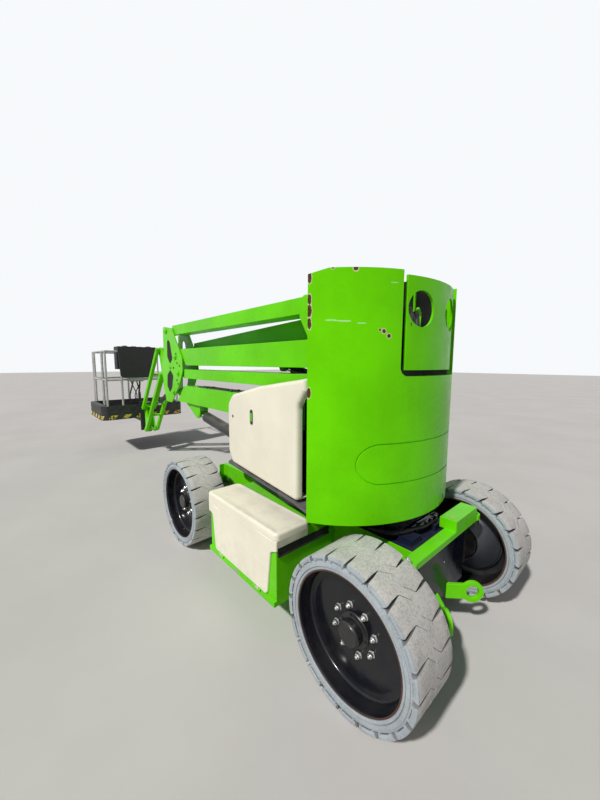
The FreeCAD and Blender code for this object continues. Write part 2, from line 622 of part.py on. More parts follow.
def make_links():
    low_f, low_r = LINK_LOW, LINK_LOW_REAR
    top_f, top_r = LINK_TOP, LINK_TOP_REAR
    low_tie_f, low_tie_r = shifted(low_f, TIE_LOW_OFFSET), shifted(low_r, TIE_LOW_OFFSET)
    top_tie_f, top_tie_r = shifted(top_f, TIE_TOP_OFFSET), shifted(top_r, TIE_TOP_OFFSET)
    # lower link, with the riser cylinder's bracket below
    beam = link_beam(around(low_r, [(-70, -100, 30)]) + around(low_f, [(-64, -100, 0), (-265, 90, 0)])
                     + around(low_r, [(-70, 90, 30)]), [low_f, low_r])
    x, z = RISER_HEAD
    under = low_f[1] - 95
    ears = [side_plate([(x - 60, under, 0), (x - 40, z - 40, 30), (x + 40, z - 40, 30), (x + 330, under, 0)],
                       y, y + PLATE) for y in (LUG_Y[0] - 18, LUG_Y[1] + 6)]
    heads = [across(x, z, 30, LUG_Y[0] - 24, LUG_Y[0] - 17), across(x, z, 30, LUG_Y[1] + 17, LUG_Y[1] + 24)]
    put("lower_link", joined([beam] + ears + heads))
    for name, rear, front, ends in (
            ("lower_tie", low_tie_r, low_tie_f,
             ((-45, -50, 20), (-132, -50, 0), (-132, 50, 0), (-45, 50, 20))),
            ("upper_link", top_r, top_f, ((-70, -95, 30), (-251, -95, 0), (-92, 90, 0), (-70, 90, 30))),
            ("upper_tie", top_tie_r, top_tie_f,
             ((-60, -53, 20), (-218, -53, 0), (-155, 55, 0), (-60, 55, 20)))):
        corners = around(rear, ends[:1]) + around(front, ends[1:3]) + around(rear, ends[3:])
        put(name, link_beam(corners, [front, rear]))
    # front knuckle: two slotted plates around all four front pins
    outline = around(low_f, [(-280, 260, 70), (-274, 400, 90), (0, 760, 60), (290, 800, 40),
                             (300, 480, 60), (410, 315, 60), (320, 60, 60), (269, -129, 40),
                             (85, -129, 40), (-180, 108, 60)])
    slots = [around(low_f, [(10, 400, 35), (95, 335, 40), (180, 420, 45), (165, 655, 40), (75, 600, 45)]),
             around(low_f, [(0, 200, 25), (50, 55, 30), (130, -15, 35), (215, 60, 40), (195, 205, 40),
                            (95, 270, 35)])]
    plates = [side_plate(outline, *PLATE_IN), side_plate(outline, *PLATE_OUT)]
    for slot in slots:
        plates = [p.cut(side_plate(slot, 0, 400)) for p in plates]
    put("front_knuckle", pinned(plates, [low_f, low_tie_f, top_f, top_tie_f]))
    # rear knuckle: plates around the upper pins and the main boom's pivot
    flap_x = SLEW_X - DRUM_R
    outline = [(flap_x + 150, 1580, 20), (-520, 1580, 60), (-330, 1620, 60),
               (-160, 1900, 50), (-180, 2034, 40), (flap_x + 150, 2034, 20)]
    # the boom foot cylinder hangs between the inner plate and its twin on the right
    inner = [(flap_x + 100, 1580, 20), (-520, 1580, 60), (-410, 1340, 50), (-280, 1340, 50),
             (-160, 1900, 50), (-180, 2034, 40), (flap_x + 100, 2034, 20)]
    left = side_plate(outline, *PLATE_OUT)
    middle = side_plate(inner, *PLATE_IN)
    right = side_plate(inner, -PLATE_IN[1], -PLATE_IN[0])
    body = pinned([left, middle], [top_r, top_tie_r])
    cross = [across(x, z, PIN_R, -PLATE_IN[1], PLATE_IN[1]) for x, z in (BOOM_PIVOT, BOOM_FOOT)]
    z0, z1 = SLOT_Z + 32, DRUM_Z[1] - 16
    half_w = SLOT_HALF_W - FLAP_GAP
    flap = drum_sector(DRUM_R - 16, 26, z0, z1).cut(upright(SLEW_X, 0, DRUM_R - 28, z0 - 60, z1 + 60))
    flap = flap.common(box(flap_x - 120, flap_x + 380, -half_w, half_w, z0 - 60, z1 + 60))
    for sign in (1, -1):
        flap = flap.cut(Part.makeCylinder(92, 400, V(flap_x - 120, sign * 160, z1 - 159), V(1, 0, 0)))
    webs = [box(flap_x + 35, flap_x + 110, y0, y1, 1580, 1780)
            for y0, y1 in (PLATE_IN, (-PLATE_IN[1], -PLATE_IN[0]))]
    webs = [w.common(upright(SLEW_X, 0, DRUM_R - 20, z0 - 60, z1 + 60)) for w in webs]
    put("rear_knuckle", joined([body, right, flap] + cross + webs))


# Main boom, drawn level along its own line from the pivot and then sloped

def boom_point(s, up):
    """A point along the stowed boom: s from the pivot, up from its centre line."""
    a = math.radians(-BOOM_SLOPE)
    return (BOOM_PIVOT[0] + s * math.cos(a) - up * math.sin(a),
            BOOM_PIVOT[1] + s * math.sin(a) + up * math.cos(a))


def make_boom():
    px, pz = BOOM_PIVOT
    w, h = BOOM_HALF_W, BOOM_HALF_H
    tube = box(px + 70, px + BOOM_END, -w, w, pz - h, pz + h)
    room = box(px + 120, px + BOOM_END + 1, -w + BOOM_WALL, w - BOOM_WALL,
               pz - h + BOOM_WALL, pz + h - BOOM_WALL)
    eye = joined([box(px, px + 130, -60, 60, pz - 60, pz + 60), across(px, pz, 62, -60, 60)])
    outer = turned(joined([tube.cut(room), eye]).cut(across(px, pz, PIN_R + 0.3, -200, 200)),
                   px, pz, -BOOM_SLOPE)
    x, z = BOOM_HEAD
    rear_top = boom_point(x - 90 - px, -BOOM_HALF_H + 4)[1]
    front_top = boom_point(x + 90 - px, -BOOM_HALF_H + 4)[1]
    ears = [side_plate([(x - 90, rear_top, 0), (x - 34, z - 34, 26), (x + 34, z - 34, 26),
                        (x + 90, front_top, 0)], y, y + PLATE) for y in (-42, 30)]
    outer = joined([outer, across(x, z, 26, -48, -41), across(x, z, 26, 41, 48)] + ears)
    put("boom_outer", outer)
    w, h = INNER_HALF_W, INNER_HALF_H
    nose = px + NOSE_PIVOT_S
    tube = box(px + 240, nose - 75, -w, w, pz - h, pz + h)
    room = box(px + 239, nose, -w + BOOM_WALL, w - BOOM_WALL, pz - h + BOOM_WALL, pz + h - BOOM_WALL)
    slot = box(nose - NOSE_SLOT, nose, -INNER_HALF_W + 14, INNER_HALF_W - 14, pz - h - 1, pz)
    cheeks = []
    for y0 in (-INNER_HALF_W + 2, INNER_HALF_W - 16):
        cheeks.append(side_plate([(nose - 130, pz - 70, 0), (nose + 45, pz - 50, 40),
                                  (nose + 45, pz + 50, 40), (nose - 130, pz + 70, 0)], y0, y0 + 14))
    # wear pads run inside the outer tube
    pads = []
    gap = (BOOM_HALF_W - BOOM_WALL - w, BOOM_HALF_H - BOOM_WALL - h)
    for pad_x in (px + 260, px + BOOM_END - 140):
        reach = 0.4
        pads.append(box(pad_x, pad_x + 100, -w - gap[0] + reach, w + gap[0] - reach, pz - 40, pz + 40)
                    .cut(box(pad_x - 1, pad_x + 101, -w, w, pz - 41, pz + 41)))
        pads.append(box(pad_x, pad_x + 100, -40, 40, pz - h - gap[1] + reach, pz + h + gap[1] - reach)
                    .cut(box(pad_x - 1, pad_x + 101, -41, 41, pz - h, pz + h)))
    inner = joined([tube.cut(room).cut(slot)] + cheeks + pads + [across(nose, pz, PIN_R, -w + 2, w - 2)])
    put("boom_inner", turned(inner, px, pz, -BOOM_SLOPE))


def make_nose():
    nose = boom_point(NOSE_PIVOT_S, 0)
    low, top, foot = JIB_LOW_PIN, JIB_TOP_PIN, JIB_FOOT
    outline = [(nose[0] - 48, nose[1] + 48, 40), (nose[0] + 40, nose[1] + 70, 40),
               (top[0] - 40, top[1] + 46, 40), (top[0] + 46, top[1] + 40, 40),
               (top[0] + 40, top[1] - 60, 30), (low[0] + 46, low[1] - 30, 40),
               (foot[0] + 44, foot[1] - 42, 38), (foot[0] - 44, foot[1] - 42, 38),
               (foot[0] - 44, foot[1] + 120, 40), (nose[0] - 48, nose[1] - 48, 40)]
    half = JIB_ARM_Y[0] - RUN - 8
    plates = [side_plate(outline, half - PLATE, half), side_plate(outline, -half, -half + PLATE)]
    body = joined(plates + [across(*low, 26, -half, half), across(*top, 40, -half, half)])
    core = box(nose[0] + 75, low[0] + 30, -half, half, low[1] + 60, low[1] + 220)
    boss = across(nose[0], nose[1], 46, -half, half)
    body = joined([body, core, boss]).cut(across(nose[0], nose[1], PIN_R + 0.3, -200, 200))
    reach = JIB_ARM_Y[1] + 6
    pins = [across(x, z, PIN_R - 4, -reach, reach) for x, z in (low, top)]
    pins.append(across(foot[0], foot[1], PIN_R - 6, -half, half))
    put("nose_bracket", joined([body] + pins))


def jib_end(pin):
    """The far end of a jib arm that starts at this pin."""
    a = math.radians(JIB_ANGLE)
    return (pin[0] + JIB_LENGTH * math.cos(a), pin[1] + JIB_LENGTH * math.sin(a))


def jib_arm(pin):
    """A pair of flat arms, drawn level from their pin and then turned down."""
    x, z = pin
    arms = []
    for y0, y1 in (JIB_ARM_Y, (-JIB_ARM_Y[1], -JIB_ARM_Y[0])):
        arm = side_plate([(x - 36, z - JIB_ARM_H / 2, 28), (x + JIB_LENGTH + 36, z - JIB_ARM_H / 2, 28),
                          (x + JIB_LENGTH + 36, z + JIB_ARM_H / 2, 28), (x - 36, z + JIB_ARM_H / 2, 28)],
                         y0, y1)
        for px in (x, x + JIB_LENGTH):
            arm = arm.cut(across(px, z, PIN_R - 3.7, y0 - 1, y1 + 1))
        arms.append(arm)
    return arms


def make_jib():
    x, z = JIB_LOW_PIN
    lower = jib_arm(JIB_LOW_PIN) + [across(x + 900, z, 20, -JIB_ARM_Y[0] - 2, JIB_ARM_Y[0] + 2)]
    for y in (26, -JIB_ARM_Y[0] - 2):
        lower.append(across(x + JIB_HEAD_S, z, 28, y, y + JIB_ARM_Y[0] + 2 - 26))
    put("jib_lower_arms", turned(joined(lower), x, z, JIB_ANGLE))
    x, z = JIB_TOP_PIN
    upper = jib_arm(JIB_TOP_PIN) + [across(x + 500, z, 20, -JIB_ARM_Y[0] - 2, JIB_ARM_Y[0] + 2)]
    put("jib_upper_arms", turned(joined(upper), x, z, JIB_ANGLE))
    # jib head: plates round both far pins, with the cage's pivot post in front
    low, top = jib_end(JIB_LOW_PIN), jib_end(JIB_TOP_PIN)
    half = JIB_ARM_Y[0] - RUN - 8
    outline = [(low[0] - 46, low[1] - 44, 38), (low[0] + 60, low[1] - 44, 30),
               (CAGE_PIVOT_X - 20, low[1] + 20, 20), (CAGE_PIVOT_X - 20, top[1] + 40, 20),
               (top[0] - 40, top[1] + 46, 36)]
    plates = [side_plate(outline, half - PLATE, half), side_plate(outline, -half, -half + PLATE)]
    reach = JIB_ARM_Y[1] + 6
    pins = [across(px, pz, PIN_R - 4, -reach, reach) for px, pz in (low, top)]
    post = upright(CAGE_PIVOT_X, 0, 38, low[1] - 20, top[1] + POST_OVER)
    web = box(CAGE_PIVOT_X - 110, CAGE_PIVOT_X, -half, half, low[1] + 40, top[1] - 60)
    put("jib_head", joined(plates + pins + [post, web]))


# Work cage

def rail(points, radius=RAIL_R):
    """A welded run of round tube through a list of points, with ball corners."""
    pieces = []
    for a, b in zip(points, points[1:]):
        pieces.append(rod(a, b, radius))
    for p in points:
        pieces.append(Part.makeSphere(radius, V(*p)))
    return pieces


def make_cage():
    x0, x1 = CAGE_X
    w = CAGE_HALF_W
    low, top = jib_end(JIB_LOW_PIN), jib_end(JIB_TOP_PIN)
    # mount: collars above and below the post, and arms under the floor
    z0, z1 = low[1] - 20, top[1] + POST_OVER
    arms = []
    for a, b in ((z0 - 40, z0 - SEAT), (z1 + SEAT, z1 + 30)):
        arms.append(upright(CAGE_PIVOT_X, 0, 52, a, b))
    arms.append(box(CAGE_PIVOT_X, x0, -40, 40, z0 - 40, z0 - SEAT))
    arms.append(box(CAGE_PIVOT_X, x0, -40, 40, z1 + SEAT, z1 + 30))
    arms.append(box(x0 - 24, x0, -90, 90, z0 - 40, z1 + 30))
    arms.append(box(x0 - 24, x0 + 520, -90, -40, KICK_Z[0] - 60, KICK_Z[0]))
    arms.append(box(x0 - 24, x0 + 520, 40, 90, KICK_Z[0] - 60, KICK_Z[0]))
    put("cage_mount", joined(arms))
    # floor tray with its kick band
    wide = w + BAND
    tray = flat_plate([(x0, -wide, BAND_CORNER), (x1, -wide, BAND_CORNER), (x1, wide, BAND_CORNER),
                       (x0, wide, BAND_CORNER)], *KICK_Z)
    room = box(x0 + 8, x1 - 8, -w + 8, w - 8, CAGE_FLOOR_Z, KICK_Z[1] + 1)
    under = box(x0 + 40, x1 - 40, -w + 40, w - 40, KICK_Z[0] - 1, CAGE_FLOOR_Z - 12)
    put("cage_floor", tray.cut(room).cut(under))
    # rails: a ring at each height, broken on the left where the gate hangs
    r = RAIL_R
    gate_x = (x0 + 250, x1 - 100)
    ring = [(gate_x[0], w - r, 0), (x0 + r, w - r, 0), (x0 + r, -w + r, 0), (x1 - r, -w + r, 0),
            (x1 - r, w - r, 0), (gate_x[1], w - r, 0)]
    pieces = []
    base_z = KICK_Z[1]
    for z in (RAIL_MID_Z, RAIL_TOP_Z):
        pieces += rail([(x, y, z) for x, y, _ in ring])
    for x, y, _ in ring + [(x0 + r, 0.58 * w, 0), (x1 - r, 0, 0)]:
        pieces.append(rod((x, y, base_z), (x, y, RAIL_TOP_Z), r))
    gx0, gx1 = gate_x[0] + 2 * r + RUN + 2, gate_x[1] - 2 * r - RUN - 2
    gate_z = base_z + 25
    for z in (gate_z - 12 - SEAT, RAIL_MID_Z - 80):
        pieces += [box(gx1, gate_x[1], w - r - 14, w - r + 14, z, z + 12), upright(gx1, w - r, 22, z, z + 12)]
    put("cage_frame", joined(pieces).cut(upright(gx1, w - r, r - 2 + SEAT, gate_z, RAIL_TOP_Z)))
    # gate: two bars and two stiles, hinged at its front stile
    gate = rail([(gx0, w - r, gate_z), (gx0, w - r, RAIL_TOP_Z), (gx1, w - r, RAIL_TOP_Z),
                 (gx1, w - r, gate_z)], r - 2)
    gate += rail([(gx0, w - r, RAIL_MID_Z), (gx1, w - r, RAIL_MID_Z)], r - 2)
    put("cage_gate", joined(gate).common(box(x0, x1, 0, w, gate_z, RAIL_TOP_Z + r)))
    # console cover: a back, a narrower tail below it, a lid over the rear rail and a front
    y0, y1 = 385 - w, w - 200
    low_z, high_z = RAIL_TOP_Z - 300, RAIL_TOP_Z + 82
    back = [(y0, high_z, 25), (y0 + 60, low_z - 145, 60), (y1 - 32, low_z - 145, 60), (y1, high_z, 25)]
    console = [front_plate(back, x0 - 42, x0 - SEAT),
               box(x0 - 42, x0 + 230, y0, y1, RAIL_TOP_Z + r + SEAT, high_z),
               box(x0 + 2 * r + 3, x0 + 230, y0, y1, low_z, high_z)]
    put("console_cover", joined(console))


# Cylinders: each barrel is bored for its rod, and the rod's eye sits on its pin

def cylinder_pair(name, foot, head, y, barrel_r, rod_r, eye_w, pin_r, barrel_end, rod_start):
    """A barrel from its foot pin and a rod to its head pin, both drawn level and then tilted."""
    a, b = V(foot[0], y, foot[1]), V(head[0], y, head[1])
    length = (b - a).Length
    reach = length - barrel_end
    barrel = Part.makeCylinder(barrel_r, reach - 50, V(50, 0, 0), V(1, 0, 0))
    neck = Part.makeBox(80, eye_w, 2 * (pin_r + 12), V(0, -eye_w / 2, -(pin_r + 12)))
    eye = Part.makeCylinder(pin_r + 14, eye_w, V(0, -eye_w / 2, 0), V(0, 1, 0))
    bore = Part.makeCylinder(rod_r + 0.5, reach, V(60, 0, 0), V(1, 0, 0))
    hole = Part.makeCylinder(pin_r + SEAT, eye_w + 2, V(0, -eye_w / 2 - 1, 0), V(0, 1, 0))
    barrel = joined([barrel, neck, eye]).cut(bore).cut(hole)
    bar = Part.makeCylinder(rod_r, length - pin_r - 8 - rod_start, V(rod_start, 0, 0), V(1, 0, 0))
    eye = Part.makeCylinder(pin_r + 14, eye_w, V(length, -eye_w / 2, 0), V(0, 1, 0))
    plug = Part.makeCylinder(pin_r, eye_w + 5, V(length, -eye_w / 2 - 2.5, 0), V(0, 1, 0))
    bar = joined([bar, eye, plug])
    tilt = math.degrees(math.atan2(b.z - a.z, b.x - a.x))
    for part_name, shape in (("barrel", barrel), ("rod", bar)):
        shape.rotate(V(0, 0, 0), V(0, -1, 0), tilt)
        shape.translate(a)
        put("%s_%s" % (name, part_name), shape)


def jib_cylinder_head():
    a = math.radians(JIB_ANGLE)
    return (JIB_LOW_PIN[0] + JIB_HEAD_S * math.cos(a), JIB_LOW_PIN[1] + JIB_HEAD_S * math.sin(a))


def make_cylinders():
    lug_mid = (LUG_Y[0] + LUG_Y[1]) / 2
    cylinder_pair("riser_cylinder", RISER_FOOT, RISER_HEAD, lug_mid, 55, 34, 56, PIN_R, 120, 70)
    cylinder_pair("boom_cylinder", BOOM_FOOT, BOOM_HEAD, 0, 48, 28, 50, PIN_R, 110, 70)
    cylinder_pair("jib_cylinder", JIB_FOOT, jib_cylinder_head(), 0, 34, 20, 44, PIN_R - 6, 90, 100)


make_wheels()
make_axles()
make_track_rod()
make_chassis()
make_tie_downs()
make_pods()
make_turret()
make_turret_frame()
make_canopies()
make_links()
make_boom()
make_nose()
make_jib()
make_cage()
make_cylinders()
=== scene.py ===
import bpy
import bmesh
import math
import random
from mathutils import Matrix, Vector


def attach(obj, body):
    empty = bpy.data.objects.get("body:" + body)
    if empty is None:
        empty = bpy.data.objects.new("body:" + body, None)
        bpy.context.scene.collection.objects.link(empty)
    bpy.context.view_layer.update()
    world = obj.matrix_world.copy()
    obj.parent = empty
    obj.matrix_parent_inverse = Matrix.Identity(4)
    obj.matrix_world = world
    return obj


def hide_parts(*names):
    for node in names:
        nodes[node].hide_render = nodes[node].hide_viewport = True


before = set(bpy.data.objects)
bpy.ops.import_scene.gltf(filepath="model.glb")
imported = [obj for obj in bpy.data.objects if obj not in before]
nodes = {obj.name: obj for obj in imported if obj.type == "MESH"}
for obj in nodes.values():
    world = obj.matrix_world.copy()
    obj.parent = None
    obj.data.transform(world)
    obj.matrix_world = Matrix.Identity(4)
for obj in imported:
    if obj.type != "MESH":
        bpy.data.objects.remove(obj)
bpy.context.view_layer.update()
random.seed(7)

# Sizes shared with the CAD, in metres, in the machine's own frame between the axles
MID = 2.0425
AXLE_X = 0.946
TYRE_R = 0.369
TYRE_Y = (0.465, 0.750)
RIM_R = 0.2997
SIDES = (("left", 1), ("right", -1))


def P(x, y, z):
    """A point of the machine's frame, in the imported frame."""
    return Vector((x - MID, y, z))


def on_top(z, sign=1):
    """Where an outline's (x, y) lies at a depth below the height z. The sign mirrors it."""
    return lambda x, y, depth: P(x, sign * y, z - depth)


def on_side(y, sign=1):
    """Where an outline's (x, z) lies at a depth inside the side face at y."""
    return lambda x, z, depth: P(x, sign * (y - depth), z)


def on_rear(x):
    """Where an outline's (y, z) lies at a depth in front of the rear face at x."""
    return lambda y, z, depth: P(x + depth, y, z)


# Camera, fitted to the photograph, with angles in radians and its focal length in pixels
CAMERA_PLACE = (-1.7944, 1.7608, 1.5954)
CAMERA_HEADING, CAMERA_PITCH, CAMERA_ROLL = -0.7296, 0.1135, -0.0043
FOCAL_LENGTH, PHOTO_HEIGHT = 322.87, 800.0
SENSOR = 36.0


def make_camera():
    ahead, aside = math.cos(CAMERA_HEADING), math.sin(CAMERA_HEADING)
    level = math.cos(CAMERA_PITCH)
    forward = Vector((ahead * level, aside * level, -math.sin(CAMERA_PITCH)))
    right = Vector((aside, -ahead, 0.0))
    down = forward.cross(right)
    rolled_right = right * math.cos(CAMERA_ROLL) + down * math.sin(CAMERA_ROLL)
    rolled_down = -right * math.sin(CAMERA_ROLL) + down * math.cos(CAMERA_ROLL)
    data = bpy.data.cameras.new("photo_camera")
    data.sensor_width = SENSOR
    data.sensor_height = SENSOR
    data.lens = SENSOR * FOCAL_LENGTH / PHOTO_HEIGHT
    data.clip_start, data.clip_end = 0.05, 200.0
    camera = bpy.data.objects.new("photo_camera", data)
    bpy.context.scene.collection.objects.link(camera)
    turn = Matrix((rolled_right, -rolled_down, -forward)).transposed()
    camera.matrix_world = Matrix.Translation(P(*CAMERA_PLACE)) @ turn.to_4x4()
    bpy.context.scene.camera = camera


# Light: a sun from the machine's left and slightly behind, under an even pale sky
SKY_LIGHT, SKY_STRENGTH = (0.90, 0.95, 1.0), 0.20
BACKGROUND = (0.93, 0.95, 0.97)
SUN_COLOUR, SUN_ENERGY, SUN_ANGLE = (1.0, 0.985, 0.965), 3.30, 3
SUN_FROM = (-0.20, 1.25, 1.35)


def make_light():
    scene = bpy.context.scene
    scene.view_settings.view_transform = "Standard"
    world = bpy.data.worlds.new("studio")
    scene.world = world
    world.use_nodes = True
    tree = world.node_tree
    tree.nodes.clear()
    out = tree.nodes.new("ShaderNodeOutputWorld")
    path = tree.nodes.new("ShaderNodeLightPath")
    mix = tree.nodes.new("ShaderNodeMixShader")
    for socket, colour, strength in ((1, SKY_LIGHT, SKY_STRENGTH), (2, BACKGROUND, 1.0)):
        sky = tree.nodes.new("ShaderNodeBackground")
        sky.inputs["Color"].default_value = (*colour, 1)
        sky.inputs["Strength"].default_value = strength
        tree.links.new(sky.outputs[0], mix.inputs[socket])
    seen = path.outputs["Is Camera Ray"]
    for ray in ("Is Glossy Ray", "Is Transmission Ray"):
        either = tree.nodes.new("ShaderNodeMath")
        either.operation = "MAXIMUM"
        tree.links.new(seen, either.inputs[0])
        tree.links.new(path.outputs[ray], either.inputs[1])
        seen = either.outputs[0]
    tree.links.new(seen, mix.inputs["Fac"])
    tree.links.new(mix.outputs[0], out.inputs["Surface"])
    sun = bpy.data.lights.new("key", "SUN")
    sun.energy = SUN_ENERGY
    sun.angle = math.radians(SUN_ANGLE)
    sun.color = SUN_COLOUR
    key = bpy.data.objects.new("key", sun)
    scene.collection.objects.link(key)
    towards = Vector(SUN_FROM).normalized()
    key.rotation_mode = "QUATERNION"
    key.rotation_quaternion = towards.to_track_quat("Z", "Y")
    key.location = towards * 10


# Materials
class Nodes:
    """A short way to build a material's node tree."""

    def __init__(self, name):
        self.material = bpy.data.materials.new(name)
        self.material.use_nodes = True
        self.tree = self.material.node_tree
        self.tree.nodes.clear()
        out = self.new("ShaderNodeOutputMaterial")
        self.shader = self.new("ShaderNodeBsdfPrincipled")
        self.link(self.shader.outputs[0], out.inputs["Surface"])
        self.where = self.new("ShaderNodeTexCoord").outputs["Object"]

    def new(self, kind):
        return self.tree.nodes.new(kind)

    def link(self, source, target):
        self.tree.links.new(source, target)

    def put(self, target, value):
        """Link a socket or set a plain value."""
        if isinstance(value, bpy.types.NodeSocket):
            self.link(value, target)
        elif target.type == "RGBA":
            target.default_value = (*value, 1)
        else:
            target.default_value = value

    def vector(self, kind, a, b):
        node = self.new("ShaderNodeVectorMath")
        node.operation = kind
        self.put(node.inputs[0], a)
        self.put(node.inputs[1], b)
        return node

    def stretch(self, scale, where=None):
        return self.vector("MULTIPLY", where or self.where, scale).outputs[0]

    def noise(self, scale, detail, rough=0.6, where=None, distortion=0.0):
        node = self.new("ShaderNodeTexNoise")
        self.link(where or self.where, node.inputs["Vector"])
        node.inputs["Scale"].default_value = scale
        node.inputs["Detail"].default_value = detail
        node.inputs["Roughness"].default_value = rough
        node.inputs["Distortion"].default_value = distortion
        return node.outputs["Fac"]

    def cells(self, scale):
        node = self.new("ShaderNodeTexVoronoi")
        self.link(self.where, node.inputs["Vector"])
        node.inputs["Scale"].default_value = scale
        return node.outputs["Distance"]

    def band(self, value, low, high, to_low=0.0, to_high=1.0):
        """Value mapped smoothly from low..high to to_low..to_high."""
        node = self.new("ShaderNodeMapRange")
        node.interpolation_type = "SMOOTHSTEP"
        self.link(value, node.inputs["Value"])
        node.inputs["From Min"].default_value = low
        node.inputs["From Max"].default_value = high
        node.inputs["To Min"].default_value = to_low
        node.inputs["To Max"].default_value = to_high
        return node.outputs["Result"]

    def maths(self, kind, a, b=0.0):
        node = self.new("ShaderNodeMath")
        node.operation = kind
        self.put(node.inputs[0], a)
        self.put(node.inputs[1], b)
        return node.outputs[0]

    def times(self, a, b):
        return self.maths("MULTIPLY", a, b)

    def mix(self, share, a, b):
        node = self.new("ShaderNodeMix")
        node.data_type = "RGBA"
        self.put(node.inputs["Factor"], share)
        self.put(node.inputs["A"], a)
        self.put(node.inputs["B"], b)
        return node.outputs["Result"]

    def part(self, vector, which):
        node = self.new("ShaderNodeSeparateXYZ")
        self.link(vector, node.inputs[0])
        return node.outputs[which]

    def axis(self, which):
        return self.part(self.where, which)

    def facing_up(self):
        return self.part(self.new("ShaderNodeNewGeometry").outputs["Normal"], "Z")

    def edges(self, radius):
        """1 on sharp edges and 0 on flats."""
        bevel = self.new("ShaderNodeBevel")
        bevel.samples = 4
        bevel.inputs["Radius"].default_value = radius
        normal = self.new("ShaderNodeNewGeometry").outputs["Normal"]
        dot = self.vector("DOT_PRODUCT", bevel.outputs[0], normal)
        return self.band(dot.outputs["Value"], 0.97, 0.80)

    def bump(self, height, strength, distance):
        node = self.new("ShaderNodeBump")
        self.link(height, node.inputs["Height"])
        node.inputs["Strength"].default_value = strength
        node.inputs["Distance"].default_value = distance
        self.link(node.outputs[0], self.shader.inputs["Normal"])

    def colour(self, value):
        self.put(self.shader.inputs["Base Color"], value)

    def rough(self, value):
        self.put(self.shader.inputs["Roughness"], value)


DUST = (0.42, 0.34, 0.28)
RUST = (0.10, 0.030, 0.012)
DARK_CHIP = (0.05, 0.045, 0.045)
SPECK = (0.16, 0.13, 0.10)


def scaled(colour, share, lift=0.0):
    return tuple(min(1.0, c * share + lift) for c in colour)


def paint(name, colour, rough, dust=0.35, chips=0.35, coat=0.0, grime=0.25, pale=0.012,
          tint=(1.0, 1.0, 1.0), gloss=0.5, marks=None):
    """Sprayed paint on steel: slight cloudiness, dust, fine scratches and chipped edges."""
    n = Nodes(name)
    base = n.mix(n.band(n.noise(2.3, 4.0), 0.35, 0.68), scaled(colour, 0.90), scaled(colour, 1.06, pale))
    streak = n.band(n.noise(9.0, 5.0, 0.7, n.stretch((1.0, 1.0, 0.22))), 0.54, 0.76, 0.0, grime)
    base = n.mix(streak, base, scaled(colour, 0.66, pale))
    fine = n.band(n.noise(60.0, 2.0, 0.5, n.stretch((1.0, 1.0, 7.0))), 0.70, 0.76, 0.0, 0.30)
    base = n.mix(fine, base, scaled(colour, 1.15, 2 * pale))
    film = n.times(n.band(n.facing_up(), 0.35, 0.95), n.band(n.noise(7.0, 5.0, 0.7), 0.36, 0.66, 0.2, 1.0))
    low = n.times(n.band(n.axis("Z"), 0.75, 0.15), n.band(n.noise(14.0, 6.0, 0.7), 0.40, 0.72))
    film = n.times(n.maths("MAXIMUM", film, low), dust)
    base = n.mix(film, base, DUST)
    if chips > 0:
        worn = n.times(n.edges(0.006), n.band(n.noise(26.0, 4.0, 0.75), 0.60, 0.66))
        bare = n.mix(n.band(n.noise(90.0, 2.0), 0.42, 0.58), RUST, DARK_CHIP)
        base = n.mix(n.times(worn, chips), base, bare)
    if marks:
        base = marks(n, base)
    n.colour(base)
    uneven = n.band(n.noise(11.0, 4.0), 0.3, 0.7, rough - 0.06, rough + 0.10)
    n.rough(n.maths("ADD", uneven, n.times(film, 0.45)))
    n.shader.inputs["Coat Weight"].default_value = coat
    n.shader.inputs["Coat Roughness"].default_value = 0.12
    n.shader.inputs["Specular Tint"].default_value = (*tint, 1)
    n.shader.inputs["Specular IOR Level"].default_value = gloss
    n.bump(n.noise(160.0, 2.0), 0.10, 0.0012)
    return n.material


def plastic(name, colour, rough, dust, grain=0.18, smudge=0.25):
    """Moulded plastic or laminate with a fine grain, hand marks and dust in the lows."""
    n = Nodes(name)
    base = n.mix(n.band(n.noise(1.9, 4.0), 0.35, 0.7), scaled(colour, 0.93), scaled(colour, 1.04))
    marks = n.band(n.noise(5.5, 6.0, 0.72, n.stretch((1.0, 1.0, 0.45))), 0.55, 0.78, 0.0, smudge)
    base = n.mix(marks, base, scaled(colour, 0.76))
    specks = n.times(n.band(n.cells(150.0), 0.10, 0.05, 0.0, 0.35), n.band(n.noise(12.0, 3.0), 0.52, 0.66))
    base = n.mix(specks, base, SPECK)
    film = n.times(n.band(n.facing_up(), 0.3, 0.98), n.band(n.noise(8.0, 5.0, 0.7), 0.40, 0.70))
    low = n.times(n.band(n.axis("Z"), 0.60, 0.20), n.band(n.noise(16.0, 6.0, 0.7), 0.42, 0.72))
    n.colour(n.mix(n.times(n.maths("MAXIMUM", film, low), dust), base, DUST))
    n.rough(n.band(n.noise(18.0, 5.0), 0.3, 0.7, rough - 0.05, rough + 0.09))
    n.bump(n.noise(420.0, 3.0, 0.6), grain, 0.0008)
    return n.material


